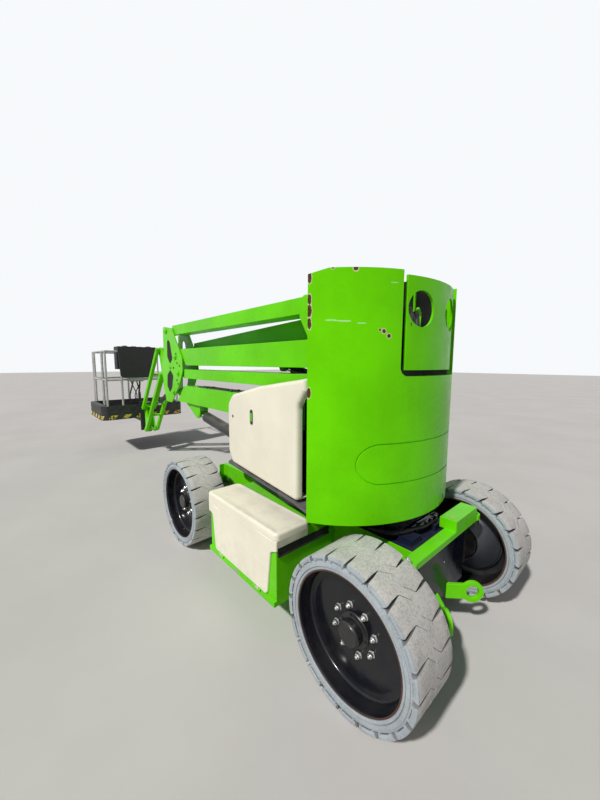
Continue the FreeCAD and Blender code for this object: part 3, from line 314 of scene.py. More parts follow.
def rubber(name, colour, dusty, dust, speckle=0.25):
    """Tyre rubber with dust in patches, scuffs and a pitted skin."""
    n = Nodes(name)
    base = n.mix(n.band(n.noise(7.0, 6.0, 0.75), 0.35, 0.66), scaled(colour, 0.80), scaled(colour, 1.10))
    base = n.mix(n.times(n.band(n.noise(11.0, 6.0, 0.7), 0.38, 0.62), dust), base, dusty)
    pits = n.times(n.band(n.cells(210.0), 0.12, 0.04, 0.0, 0.5), n.band(n.noise(20.0, 3.0), 0.46, 0.6))
    base = n.mix(pits, base, scaled(colour, 0.5))
    cuts = n.band(n.noise(38.0, 3.0, 0.6, n.stretch((1.0, 3.0, 1.0)), 0.8), 0.665, 0.70, 0.0, 0.7)
    base = n.mix(cuts, base, scaled(colour, 0.55))
    grit = n.times(n.band(n.noise(240.0, 2.0, 0.6), 0.36, 0.66), 0.45)
    base = n.mix(grit, base, scaled(colour, 1.30))
    mottle = n.band(n.noise(95.0, 5.0, 0.8), 0.47, 0.64, 0.0, speckle)
    base = n.mix(mottle, base, scaled(colour, 0.55))
    dirt = n.band(n.noise(310.0, 2.0, 0.6), 0.60, 0.72, 0.0, 0.55)
    n.colour(n.mix(dirt, base, scaled(colour, 0.50)))
    n.rough(n.band(n.noise(22.0, 4.0), 0.3, 0.7, 0.72, 0.92))
    n.bump(n.maths("ADD", n.noise(150.0, 5.0, 0.75), n.times(n.noise(18.0, 3.0), 0.8)), 0.55, 0.005)
    return n.material


def bare_metal(name, colour, rough, metallic, rusty, spangle=0.12):
    """Zinc-coated or worn steel with spangle, dull patches and a little rust."""
    n = Nodes(name)
    base = n.mix(n.band(n.cells(55.0), 0.15, 0.55), scaled(colour, 1 - spangle), scaled(colour, 1 + spangle))
    base = n.mix(n.band(n.noise(6.0, 5.0, 0.7), 0.42, 0.70, 0.0, 0.55), base, scaled(colour, 0.66))
    n.colour(n.mix(n.times(n.band(n.noise(19.0, 5.0, 0.75), 0.58, 0.72), rusty * 3), base, RUST))
    n.shader.inputs["Metallic"].default_value = metallic
    n.rough(n.band(n.noise(13.0, 5.0), 0.3, 0.7, rough - 0.10, rough + 0.16))
    n.bump(n.noise(120.0, 4.0, 0.65), 0.12, 0.001)
    return n.material


HAZARD_Z = (0.626, 0.700)
HAZARD_YELLOW = (0.78, 0.62, 0.07)


def hazard(name):
    """Black band with worn yellow slanting bars on its upright faces."""
    n = Nodes(name)
    x, y, z = (n.axis(a) for a in "XYZ")
    run = n.maths("ADD", n.maths("ADD", x, y), n.times(z, 0.9))
    wave = n.maths("FRACT", n.times(run, 4.6))
    bar = n.times(n.band(wave, 0.50, 0.52), n.band(wave, 0.995, 0.975))
    low, high = HAZARD_Z
    zone = n.times(n.band(z, low, low + 0.004), n.band(z, high, high - 0.004))
    zone = n.times(zone, n.band(n.maths("ABSOLUTE", n.facing_up()), 0.6, 0.3))
    bar = n.times(n.times(bar, zone), n.band(n.noise(24.0, 5.0, 0.75), 0.44, 0.50))
    black = n.mix(n.band(n.noise(9.0, 5.0), 0.4, 0.7), (0.014, 0.014, 0.015), (0.035, 0.034, 0.033))
    n.colour(n.mix(bar, black, HAZARD_YELLOW))
    n.rough(n.band(n.noise(16.0, 4.0), 0.3, 0.7, 0.48, 0.66))
    n.bump(n.noise(140.0, 3.0), 0.12, 0.001)
    return n.material


def patches(n, places, size, rag, stretch=(1.0, 1.0, 1.0)):
    """Ragged patches about places of the machine's frame, each (x, y, z, radius), scaled by a size."""
    wobble = n.times(n.noise(75.0, 4.0, 0.75), rag)
    total = None
    for x, y, z, radius in places:
        gap = n.vector("SUBTRACT", n.where, P(x, y, z)).outputs[0]
        length = n.new("ShaderNodeVectorMath")
        length.operation = "LENGTH"
        n.link(n.stretch(stretch, gap), length.inputs[0])
        reach = n.maths("ADD", n.maths("DIVIDE", length.outputs["Value"], radius * size), wobble)
        patch = n.band(reach, 1.04 + rag / 2, 0.96 + rag / 2)
        total = patch if total is None else n.maths("MAXIMUM", total, patch)
    return total


# Bare patches on the counterweight, where the photograph shows them
WEIGHT_CHIPS = ((-0.613, 0.646, 2.034, 0.013), (-0.635, 0.632, 2.046, 0.010), (-0.660, 0.614, 2.052, 0.008),
                (-0.705, 0.580, 2.051, 0.011), (-0.784, 0.505, 2.044, 0.015), (-0.872, 0.388, 1.753, 0.013),
                (-0.885, 0.365, 1.730, 0.013), (-0.958, -0.179, 0.854, 0.020), (-0.962, -0.150, 0.800, 0.022),
                (-0.969, -0.100, 0.762, 0.020), (-0.860, 0.405, 1.758, 0.008))
EDGE_CHIPS = ((-0.612, 0.645, 2.010, 0.013), (-0.612, 0.645, 1.905, 0.012), (-0.612, 0.645, 1.850, 0.015),
              (-0.612, 0.645, 1.790, 0.013), (-0.612, 0.645, 1.445, 0.012))
SCRATCHES = ((-0.700, 0.585, 1.804, 0.022), (-0.728, 0.561, 1.801, 0.018), (-0.751, 0.539, 1.799, 0.026),
             (-0.807, 0.479, 1.789, 0.020), (-0.893, 0.345, 1.985, 0.016))
HOLE_RIM = ((-0.966, 0.160, 1.975, 0.016),)
LONG_Z, LEVEL = (1.0, 1.0, 0.38), (0.8, 0.8, 7.0)
PRIMER, PALE_SCUFF, PALE_RIM = (0.62, 0.56, 0.34), (0.50, 0.80, 0.42), (0.60, 0.74, 0.50)


def weight_marks(n, base):
    """Rust where the paint is knocked off, a pale rim of primer round it, and pale scratches."""
    rust = n.mix(n.band(n.noise(120.0, 3.0), 0.40, 0.60), (0.022, 0.010, 0.007), (0.11, 0.045, 0.020))
    wide = n.maths("MAXIMUM", patches(n, WEIGHT_CHIPS, 1.05, 0.9), patches(n, EDGE_CHIPS, 1.0, 0.9, LONG_Z))
    core = n.maths("MAXIMUM", patches(n, WEIGHT_CHIPS, 0.72, 1.1), patches(n, EDGE_CHIPS, 0.80, 1.1, LONG_Z))
    base = n.mix(core, n.mix(wide, base, PRIMER), rust)
    base = n.mix(n.times(patches(n, SCRATCHES, 1.0, 1.2, LEVEL), 0.75), base, PALE_SCUFF)
    return n.mix(patches(n, HOLE_RIM, 1.0, 1.2), base, PALE_RIM)


LIME_GLOSS = (0.45, 1.0, 0.12)
M = {
    "green": paint("lime_paint", (0.135, 0.640, 0.0015), 0.32, dust=0.10, chips=0.55, grime=0.16, pale=0.0,
                   tint=LIME_GLOSS, gloss=0.28),
    # the same lime paint made darker: painted shade on the boom's outer part
    "green_painted_shade": paint("lime_paint_painted_shade", (0.085, 0.430, 0.0015), 0.34, dust=0.08, chips=0.4, grime=0.3,
                         pale=0.0, tint=LIME_GLOSS, gloss=0.16),
    "weight": paint("cast_weight_paint", (0.141, 0.672, 0.0015), 0.26, dust=0.06, grime=0.10, pale=0.0,
                    tint=LIME_GLOSS, gloss=0.36, marks=weight_marks),
    "cream": plastic("cream_moulding", (0.84, 0.80, 0.655), 0.36, dust=0.22),
    # the cream moulding made grey: painted shade in recesses and on small parts
    "cream_under": plastic("shaded_moulding", (0.34, 0.34, 0.31), 0.6, dust=0.3),
    "black_gloss": paint("black_gloss", (0.0050, 0.0058, 0.0095), 0.17, dust=0.02, chips=0.0, coat=0.08,
                         grime=0.06, pale=0.002, gloss=0.30),
    "panel_gloss": paint("panel_gloss", (0.0030, 0.0045, 0.014), 0.14, dust=0.02, chips=0.0, grime=0.05,
                         pale=0.001, gloss=0.14),
    "drive": paint("drive_slate", (0.030, 0.034, 0.042), 0.36, dust=0.03, chips=0.3, grime=0.3, pale=0.004),
    "cover_cloth": plastic("cover_cloth", (0.0075, 0.0075, 0.008), 0.55, dust=0.15, grain=0.6, smudge=0.4),
    "orange": paint("warning_dot", (0.85, 0.36, 0.010), 0.40, dust=0.1, chips=0.2, grime=0.1, pale=0.0),
    # near-black sheets and fills that paint the shadow in gaps, slots and holes
    "void": plastic("inner_shadow", (0.0045, 0.0045, 0.005), 0.80, dust=0.0, grain=0.2, smudge=0.1),
    "black_satin": paint("black_satin", (0.020, 0.020, 0.022), 0.42, dust=0.28, chips=0.4),
    "black_plastic": plastic("black_moulding", (0.020, 0.021, 0.024), 0.52, dust=0.10, grain=0.3),
    "hose": plastic("rubber_hose", (0.014, 0.014, 0.014), 0.55, dust=0.20, grain=0.25),
    "axle": paint("axle_black", (0.013, 0.013, 0.016), 0.40, dust=0.22, chips=0.4, grime=0.4, pale=0.006),
    "hub": paint("hub_black", (0.009, 0.009, 0.011), 0.34, dust=0.03, chips=0.2, coat=0.1, grime=0.3,
                 pale=0.004),
    "deck": paint("deck_slate", (0.050, 0.060, 0.082), 0.45, chips=0.4),
    "motor": paint("motor_blue_black", (0.006, 0.011, 0.034), 0.28, dust=0.06, chips=0.2, coat=0.15,
                   pale=0.004, gloss=0.4),
    "tread": rubber("tread_grey", (0.510, 0.495, 0.480), (0.585, 0.550, 0.510), 0.75, speckle=0.65),
    # grey rubber made pale and blue: painted sky light on the shaded sidewall
    "sidewall": rubber("sidewall_grey_painted_skylight", (0.36, 0.405, 0.435), (0.44, 0.44, 0.42), 0.25),
    # the tread rubber made dark: painted shade in grooves, steps and lug walls
    "groove": rubber("groove_grey_painted_shade", (0.17, 0.18, 0.19), (0.28, 0.26, 0.23), 0.4),
    "zinc": bare_metal("galvanised", (0.42, 0.42, 0.40), 0.50, 0.75, 0.10),
    "steel": bare_metal("bright_steel", (0.62, 0.62, 0.60), 0.30, 0.95, 0.05),
    "chrome": bare_metal("rod_chrome", (0.74, 0.75, 0.77), 0.10, 1.0, 0.0, 0.02),
    "rust": bare_metal("rusted_steel", (0.085, 0.040, 0.026), 0.80, 0.2, 0.6),
    "hazard": hazard("hazard_band"),
}

# Shapes
BOX_FACES = ((0, 1, 3, 2), (4, 6, 7, 5), (0, 4, 5, 1), (2, 3, 7, 6), (0, 2, 6, 4), (1, 5, 7, 3))
UP, LEFT, BACK = (0, 0, 1), (0, 1, 0), (-1, 0, 0)


class Shape:
    """Vertices and faces gathered into one mesh, each face with its own material."""

    def __init__(self):
        self.verts, self.faces, self.mats, self.used = [], [], [], []

    def face(self, corners, key):
        if key not in self.used:
            self.used.append(key)
        self.faces.append(tuple(corners))
        self.mats.append(self.used.index(key))

    def add(self, verts, faces, keys):
        """Faces numbered from the first new vertex, with one material or a list of them."""
        start = len(self.verts)
        self.verts += [tuple(v) for v in verts]
        if isinstance(keys, str):
            keys = [keys] * len(faces)
        for face, key in zip(faces, keys):
            self.face([start + i for i in face], key)

    def block(self, one, other, key):
        """A box between two opposite corners."""
        xs, ys, zs = (sorted(pair) for pair in zip(one, other))
        self.add([P(x, y, z) for x in xs for y in ys for z in zs], BOX_FACES, key)

    def loft(self, rows, key):
        """Rings of as many points, joined in order, with a flat face at both ends."""
        count, last = len(rows[0]), len(rows) - 1
        faces = [range(count), range((last + 1) * count - 1, last * count - 1, -1)]
        for r in range(last):
            low, high = r * count, (r + 1) * count
            for i in range(count):
                j = (i + 1) % count
                faces.append((low + i, low + j, high + j, high + i))
        self.add([v for row in rows for v in row], faces, key)

    def lathe(self, centre, axis, profile, keys, steps, closed=False):
        """A profile of (radius, along) turned about an axis, with one material or one for each run."""
        axis = Vector(axis).normalized()
        side = axis.orthogonal().normalized()
        up = axis.cross(side)
        start, count = len(self.verts), len(profile)
        for radius, along in profile:
            for i in range(steps):
                a = 2 * math.pi * i / steps
                at = Vector(centre) + axis * along + (side * math.cos(a) + up * math.sin(a)) * radius
                self.verts.append(tuple(at))
        if isinstance(keys, str):
            keys = [keys] * count
        for r in range(count if closed else count - 1):
            low, high = start + r * steps, start + (r + 1) % count * steps
            for i in range(steps):
                j = (i + 1) % steps
                self.face((low + i, low + j, high + j, high + i), keys[r])
        if not closed:
            for r, order in ((0, -1), (count - 1, 1)):
                if profile[r][0] > 1e-5:
                    self.face(range(start + r * steps, start + (r + 1) * steps)[::order], keys[r])

    def rod(self, a, b, radius, key, steps, chamfer):
        length = (b - a).length
        profile = [(radius - chamfer, 0.0), (radius, chamfer), (radius, length - chamfer),
                   (radius - chamfer, length)]
        self.lathe(a, b - a, profile, key, steps)

    def head(self, centre, axis, side, top, key, steps):
        """A round or six-sided head: its side is (radius, foot, rim) and its flat top (radius, height)."""
        (radius, foot, rim), (inset, height) = side, top
        profile = [(radius, foot), (radius, rim), (inset, height), (0.0001, height)]
        self.lathe(centre, axis, profile, key, steps)

    def tube(self, points, radius, key, steps=10):
        """A smooth tube through points."""
        path = smooth_path(points)
        rings = []
        side = (path[1] - path[0]).normalized().orthogonal().normalized()
        for i, p in enumerate(path):
            ahead = (path[min(i + 1, len(path) - 1)] - path[max(i - 1, 0)]).normalized()
            side = (side - ahead * side.dot(ahead)).normalized()
            up = ahead.cross(side)
            turns = [2 * math.pi * k / steps for k in range(steps)]
            rings.append([p + (side * math.cos(a) + up * math.sin(a)) * radius for a in turns])
        self.loft(rings, key)

    def shell(self, corners, place, rings, key, steps=6):
        """Rings of one rounded outline, each (inset, depth), where a depth may be a function of the place."""
        base = rounded(corners, steps)
        rows = []
        for by, depth in rings:
            points = rounded(moved_in(corners, by), steps)
            deep = [depth(q) if callable(depth) else depth for q in base]
            rows.append([place(p.x, p.y, d) for p, d in zip(points, deep)])
        self.loft(rows, key)

    def build(self, name, body, smooth=32.0, replaces=()):
        """The mesh as a piece that rides on a body, its edges sharp from an angle on."""
        mesh = bpy.data.meshes.new(name)
        mesh.from_pydata(self.verts, [], self.faces)
        for key in self.used:
            mesh.materials.append(M[key])
        mesh.polygons.foreach_set("material_index", self.mats)
        bm = bmesh.new()
        bm.from_mesh(mesh)
        bmesh.ops.recalc_face_normals(bm, faces=bm.faces)
        bm.to_mesh(mesh)
        bm.free()
        mesh.shade_smooth()
        mesh.set_sharp_from_angle(angle=math.radians(smooth))
        obj = bpy.data.objects.new(name, mesh)
        bpy.context.scene.collection.objects.link(obj)
        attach(obj, body)
        if replaces:
            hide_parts(*replaces)


def rectangle(u0, v0, u1, v1, radius):
    return [(u0, v0, radius), (u1, v0, radius), (u1, v1, radius), (u0, v1, radius)]


def slab(thickness, edge):
    """Rings of a plate with both faces' edges cut back."""
    return [(edge, 0.0), (0.0, edge), (0.0, thickness - edge), (edge, thickness)]


def rounded(corners, steps):
    """Points of an outline whose (u, v, radius) corners are rounded, the same number at each corner."""
    points = []
    count = len(corners)
    for i in range(count):
        here = Vector(corners[i][:2])
        back = (Vector(corners[i - 1][:2]) - here).normalized()
        on = (Vector(corners[(i + 1) % count][:2]) - here).normalized()
        radius = max(corners[i][2], 0.0005)
        half = back.angle(on) / 2
        centre = here + (back + on).normalized() * (radius / math.sin(half))
        reach = radius / math.tan(half)
        first, last = here + back * reach - centre, here + on * reach - centre
        points += [centre + first.lerp(last, k / steps).normalized() * radius for k in range(steps + 1)]
    return points


def moved_in(corners, by):
    """The corners of an anticlockwise outline moved inwards, their radii changed to suit."""
    moved = []
    count = len(corners)
    for i in range(count):
        a, b, c = (Vector(corners[k][:2]) for k in (i - 1, i, (i + 1) % count))
        one, two = (b - a).normalized(), (c - b).normalized()
        normal = Vector((-one.y - two.y, one.x + two.x)).normalized()
        at = b + normal * (by / normal.dot(Vector((-one.y, one.x))))
        turn = 1 if one.x * two.y - one.y * two.x > 0 else -1
        moved.append((at.x, at.y, corners[i][2] - turn * by))
    return moved


def smooth_path(points, samples=6):
    """Points on a Catmull-Rom curve through the given ones."""
    pts = [Vector(p) for p in points]
    ends = [pts[0] * 2 - pts[1]] + pts + [pts[-1] * 2 - pts[-2]]
    path = []
    for a, b, c, d in zip(ends, ends[1:], ends[2:], ends[3:]):
        for k in range(samples):
            t = k / samples
            path.append(0.5 * ((2 * b) + (c - a) * t + (2 * a - 5 * b + 4 * c - d) * t * t
                               + (3 * b - a - 3 * c + d) * t * t * t))
    path.append(pts[-1])
    return path


EDGE_WIDTH, EDGE_ANGLE = 0.003, 38.0


def soften(node, key):
    """A better material and rounded edges on a CAD node, its own mesh left as it is."""
    obj = nodes[node]
    obj.data.materials.clear()
    obj.data.materials.append(M[key])
    weld = obj.modifiers.new("weld", "WELD")
    weld.merge_threshold = 0.00005
    flat = obj.modifiers.new("flat", "DECIMATE")
    flat.decimate_type = "DISSOLVE"
    flat.angle_limit = math.radians(0.5)
    rounding = obj.modifiers.new("rounding", "BEVEL")
    rounding.width = EDGE_WIDTH
    rounding.segments = 2
    rounding.limit_method = "ANGLE"
    rounding.angle_limit = math.radians(EDGE_ANGLE)
    even = obj.modifiers.new("even", "WEIGHTED_NORMAL")
    even.keep_sharp = True
    even.weight = 80


# Wheels. A lug is nine points wide, and its grooves bend at one axial place, where they narrow to a line
LUGS = 20
LUG_PITCH = 360.0 / LUGS
LUG_POINTS = 9
LUG_ROOT_R = 0.3445
SLOT_BEND, SLOT_EASE = 0.655, 0.01
SLOT_HALF, LINE_HALF = 0.0065, 0.0011
INNER_TURN = 23.0
MIDDLE_Y = (TYRE_Y[0] + TYRE_Y[1]) / 2
# half of the section, as radius and depth below the side: bead, two shallow steps, then the lugs' root
FLANK = ((RIM_R + 0.0003, 0.0070), (0.3035, 0.0035), (0.3105, 0.0030), (0.3120, 0.0055), (0.3145, 0.0055),
         (0.3160, 0.0012), (0.3290, 0.0008), (0.3320, 0.0020), (0.3335, 0.0060), (0.3400, 0.0070),
         (0.3425, 0.0110), (0.3470, 0.0115))
# groove-keyed faces take the dark grey of painted shade, sidewall-keyed faces the pale blue-grey with painted
# sky light
FLANK_KEYS = ["sidewall"] * 3 + ["groove"] + ["sidewall"] * 6 + ["groove"]
# across the outer half of the tread: axial place, radius, and how far the lug's ends draw in
LUG_STATIONS = ((TYRE_Y[1] - 0.0005, 0.3545, 0.006), (TYRE_Y[1] - 0.0025, 0.3655, 0.002),
                (TYRE_Y[1] - 0.0075, TYRE_R, 0.0), (0.705, TYRE_R, 0.0), (SLOT_BEND + 0.001, TYRE_R, 0.0),
                (SLOT_BEND - 0.006, TYRE_R, 0.0), (0.632, TYRE_R, 0.0), (MIDDLE_Y + 0.0010, TYRE_R, 0.0),
                (MIDDLE_Y + 0.0006, TYRE_R - 0.0025, 0.0))
# ribs on a lug's flank: their shares of the pitch, radius and depth at both ends, and depth of the root
RIB_SHARES = ((0.16, 0.24), (0.78, 0.86))
RIB_ENDS, RIB_ROOT = ((0.3395, 0.0015), (0.3560, 0.0008)), 0.012
RIB_FACES = ((0, 1, 2, 3), (7, 6, 5, 4), (0, 4, 5, 1), (1, 5, 6, 2), (2, 6, 7, 3), (3, 7, 4, 0))


def lug_edge(a):
    """Angle in degrees of a lug's leading groove, at axial place a on the outer half."""
    if a > SLOT_BEND:
        return 2.0 * (a - SLOT_BEND) / (TYRE_Y[1] - SLOT_BEND)
    return 7.0 * (SLOT_BEND - a) / (SLOT_BEND - MIDDLE_Y)


def lug_line(a, radius, taper, wear):
    """Points across a lug at one station, each (angle, axial place, radius)."""
    ease = min(1.0, abs(a - SLOT_BEND) / SLOT_EASE) if a > SLOT_BEND else 0.0
    gap = math.degrees((LINE_HALF + (SLOT_HALF - LINE_HALF) * ease + taper) / TYRE_R)
    start, end = lug_edge(a) + gap, lug_edge(a) + LUG_PITCH - gap
    line = []
    for k in range(LUG_POINTS):
        drop = 0.0016 if k in (0, LUG_POINTS - 1) else 0.0
        worn = wear[k % 3] if radius == TYRE_R else 0.0
        line.append((start + (end - start) * k / (LUG_POINTS - 1), a, radius - drop + worn))
    return line


def add_lug(s, put, wear):
    """A worn lug: its skin, and walls that go down into the body of the tyre; the shoulder and outer end wall
    take the pale sidewall grey with painted sky light, the other walls the groove grey of painted shade.
    """
    n, last = LUG_POINTS, len(LUG_STATIONS) - 1
    points = [p for station in LUG_STATIONS for p in lug_line(*station, wear)]
    faces = [(r * n + k, r * n + k + 1, (r + 1) * n + k + 1, (r + 1) * n + k)
             for r in range(last) for k in range(n - 1)]
    keys = ["sidewall"] * 2 * (n - 1) + ["tread"] * (last - 2) * (n - 1)
    ring = list(range(n)) + [r * n + n - 1 for r in range(1, last + 1)]
    ring += [last * n + k for k in reversed(range(n - 1))] + [r * n for r in reversed(range(1, last))]
    base, count = len(points), len(ring)
    faces += [(ring[i], base + i, base + (i + 1) % count, ring[(i + 1) % count]) for i in range(count)]
    faces.append(range(base, base + count))
    keys += ["sidewall"] * (n - 1) + ["groove"] * (count + 2 - n)
    shoulder = TYRE_Y[1] - 0.004
    for angle, a, _ in [points[i] for i in ring]:
        points.append((angle, a - (0.004 if a > shoulder else 0.0), LUG_ROOT_R))
    s.add([put(*p) for p in points], faces, keys)


def make_tyre(place, side, sign):
    centre = P(AXLE_X if place == "front" else -AXLE_X, 0, TYRE_R)
    y0, y1 = TYRE_Y
    s = Shape()
    profile = [(r, y0 + d) for r, d in FLANK] + [(r, y1 - d) for r, d in reversed(FLANK)]
    # the groove-keyed root between the rows of lugs takes painted shade
    s.lathe(centre, (0, sign, 0), profile, FLANK_KEYS + ["groove"] + FLANK_KEYS[::-1] + ["sidewall"], 120,
            closed=True)
    for row in (1, -1):
        for lug in range(LUGS):
            rnd = random.Random(lug * 7 + row + (3 if place == "front" else 0) + sign)
            wear = [rnd.uniform(-0.0012, 0.0) for _ in range(3)]

            def put(angle, a, radius):
                """A point of a lug on the outer row, or its mirror image on the inner one."""
                if row < 0:
                    angle, a = INNER_TURN - angle, 2 * MIDDLE_Y - a
                t = math.radians(angle + lug * LUG_PITCH)
                return centre + Vector((math.cos(t) * radius, sign * a, math.sin(t) * radius))

            add_lug(s, put, wear)
            # two ribs on the flank, either side of a shallow pocket
            for shares in RIB_SHARES:
                low, high = (lug_edge(y1) + LUG_PITCH * share for share in shares)
                rib = [put(angle, y1 - depth, radius) for radius, skin in RIB_ENDS
                       for angle, depth in ((low, RIB_ROOT), (high, RIB_ROOT), (high, skin), (low, skin))]
                s.add(rib, RIB_FACES, "sidewall")
    name = "tyre_%s_%s" % (place, side)
    s.build(name + "_rubber", "wheel_%s_%s" % (place, side), replaces=(name,))


# barrel and dished disc in one turned section, from the outer lip round to the inner one
RIM = ((RIM_R - 0.0002, 0.7405), (RIM_R - 0.0035, 0.7420), (0.2925, 0.7415), (0.2890, 0.7360),
       (0.2880, 0.7200), (0.2870, 0.6720), (0.2830, 0.6640), (0.2760, 0.6600), (0.2700, 0.6595),
       (0.2640, 0.6560), (0.2500, 0.6550), (0.0800, 0.6550), (0.0800, 0.6390), (0.2300, 0.6390),
       (0.2640, 0.6360), (0.2860, 0.6250), (0.2885, 0.6150), (0.2890, 0.4790), (0.2925, 0.4735),
       (RIM_R - 0.0002, 0.4730))
RIM_KEYS = ["rust"] * 2 + ["black_gloss"] * 9 + ["hub"] * 6 + ["rust"] * 3
# hub with its flange, cap and drain plug
HUB = ((0.0820, 0.6380), (0.0820, 0.6610), (0.0790, 0.6640), (0.0620, 0.6650), (0.0580, 0.6680),
       (0.0575, 0.6980), (0.0600, 0.7000), (0.0600, 0.7040), (0.0560, 0.7060), (0.0520, 0.7110),
       (0.0200, 0.7118), (0.0001, 0.7118))
# the drum of the drive, a cone that widens to the disc from inside
DRIVE = ((0.1180, 0.5020), (0.1230, 0.5000), (0.1320, 0.5080), (0.2180, 0.5920), (0.2260, 0.5960),
         (0.2290, 0.6060), (0.2380, 0.6120), (0.2380, 0.6395), (0.1180, 0.6395))
# washer, nut and stud of a wheel bolt, each a profile with its number of sides
WHEEL_BOLT = ((((0.0165, 0.6545), (0.0165, 0.6575), (0.0130, 0.6590)), 20),
              (((0.0135, 0.6585), (0.0135, 0.6700), (0.0110, 0.6730)), 6),
              (((0.0075, 0.6700), (0.0075, 0.6800), (0.0060, 0.6815)), 12))
CAP_BOLT = ((((0.0060, 0.6640), (0.0060, 0.6695), (0.0045, 0.6705)), 6),)
# number, first angle, radius, shape and material of both rings of bolts
BOLT_RINGS = ((8, 30, 0.113, WHEEL_BOLT, "steel"), (6, 15, 0.070, CAP_BOLT, "hub"))


def make_rim(place, side, sign):
    centre = P(AXLE_X if place == "front" else -AXLE_X, 0, TYRE_R)
    axis = (0, sign, 0)
    s = Shape()
    s.lathe(centre, axis, RIM, RIM_KEYS, 120, closed=True)
    s.lathe(centre, axis, HUB, "hub", 48)
    for count, first, radius, bolt, key in BOLT_RINGS:
        for k in range(count):
            a = math.radians(first + 360 / count * k)
            spot = centre + Vector((math.cos(a) * radius, 0, math.sin(a) * radius))
            for profile, steps in bolt:
                s.lathe(spot, axis, profile, key, steps)
    s.lathe(centre, axis, DRIVE, "drive", 72, closed=True)
    name = "rim_%s_%s" % (place, side)
    s.build(name + "_dish", "wheel_%s_%s" % (place, side), 34.0, replaces=(name,))


# Canopies, doors either side of the turret
CANOPY_REAR, CANOPY_FRONT = Vector((-0.410, 0.550)), Vector((0.600, 0.430))
CANOPY_LENGTH = (CANOPY_FRONT - CANOPY_REAR).length
CANOPY_ALONG = (CANOPY_FRONT - CANOPY_REAR).normalized()
CANOPY_INWARD = Vector((CANOPY_ALONG.y, -CANOPY_ALONG.x))
CANOPY_DEPTH, CANOPY_LIP = 0.105, 0.042
CANOPY_POST = (0.624, 0.375)
STRAP_Z = ((0.880, 0.910), (1.180, 1.210))


def canopy_reach(p):
    """The door is deep all round but for its open rear edge, where only a lip turns in."""
    return CANOPY_LIP if p.x < 0.004 and p.y < 1.47 else CANOPY_DEPTH


def make_canopy(side, sign):
    s = Shape()

    def place(u, v, depth):
        flat = CANOPY_REAR + CANOPY_ALONG * u + CANOPY_INWARD * depth
        return P(flat.x, sign * flat.y, v)

    end = CANOPY_LENGTH
    door = [(0.0, 0.772, 0.030), (end - 0.07, 0.772, 0.05), (end, 0.862, 0.07), (end, 1.262, 0.075),
            (end - 0.09, 1.345, 0.09), (end * 0.45, 1.440, 0.35), (-0.076, 1.512, 0.012),
            (-0.076, 1.440, 0.02), (0.0, 1.345, 0.07)]
    rings = [(0.032, 0.0), (0.026, 0.0002), (0.0185, 0.0014), (0.0095, 0.0060), (0.0030, 0.0150),
             (0.0, 0.0300), (0.0, canopy_reach), (0.010, canopy_reach), (0.010, 0.032), (0.018, 0.016),
             (0.030, 0.012)]
    s.shell(door, place, rings, "cream", 8)
    # latch slot with its green catch, its walls in the grey of painted shade and its floor near-black,
    # painted shadow, and a small round lock on a collar of the same painted-shade grey, with a long shallow
    # groove below it
    slot = rectangle(0.556, 1.150, 0.600, 1.258, 0.016)
    s.shell(slot, place, [(-0.004, 0.0006), (-0.003, -0.0012), (0.001, -0.0012), (0.002, 0.0004)],
            "cream_under")
    s.shell(moved_in(slot, 0.002), place, [(0.0, 0.0004), (0.0005, -0.0005), (0.008, -0.0005)], "void")
    catch = rectangle(0.570, 1.172, 0.590, 1.236, 0.005)
    s.shell(catch, place, [(0.0, 0.0002), (0.001, -0.0022), (0.005, -0.0026)], "green")
    groove = rectangle(0.898, 1.002, 0.922, 1.140, 0.011)
    s.shell(groove, place, [(-0.003, 0.0005), (-0.0015, -0.0009), (0.002, -0.0009), (0.004, 0.0006),
                            (0.010, 0.0004)], "cream")
    lock = place(0.910, 1.168, -0.001)
    out = place(0.910, 1.168, -0.010) - lock
    s.lathe(lock, out, [(0.0135, -0.002), (0.0135, 0.0012), (0.0110, 0.0022), (0.0100, 0.0012),
                        (0.0001, 0.0012)], "cream_under", 24)
    s.head(lock, out, (0.0085, 0.0, 0.0034), (0.0070, 0.0042), "hub", 20)
    # hinge straps on their post
    px, py = CANOPY_POST
    strap = rectangle(px - 0.042, py - 0.013, px - 0.017, py + 0.013, 0.003)
    for z0, z1 in STRAP_Z:
        tall = z1 - z0
        collar = [(0.0132, 0.0), (0.0215, 0.0), (0.022, 0.002), (0.022, tall - 0.002), (0.0215, tall),
                  (0.0132, tall)]
        s.lathe(P(px, sign * py, z0), UP, collar, "steel", 28, closed=True)
        s.shell(strap, on_top(z1, sign), slab(tall, 0.0015), "steel")
    name = "canopy_" + side
    s.build(name + "_door", name, 30.0, replaces=(name,))


# Pod covers, hinged along their lower edge
POD_X = (-0.457, 0.370)
POD_IN_Y, POD_OUT_Y = 0.470, 0.740
POD_TOP, POD_HEM, POD_HINGE_Z = 0.655, 0.505, 0.2403
POD_GAP, POD_WALL = 0.0050, 0.0035
LID_RINGS = ((0.060, 0.0022), (0.026, 0.0022), (0.022, 0.0008), (0.018, 0.0), (0.012, 0.0008),
             (0.005, 0.0045), (0.0012, 0.0100), (0.0, 0.0160), (0.0, 0.0440), (0.0035, 0.0480),
             (0.0120, 0.0480), (0.0120, 0.0140), (0.0300, 0.0130))
# height of each level of the wall below the lid, and how far its rear and front ends slope in
LID_WALL = ((0.6085, 0.0, 0.0), (0.585, 0.0035, 0.0030), (0.570, 0.0060, 0.0055), (0.562, 0.0060, 0.0060))


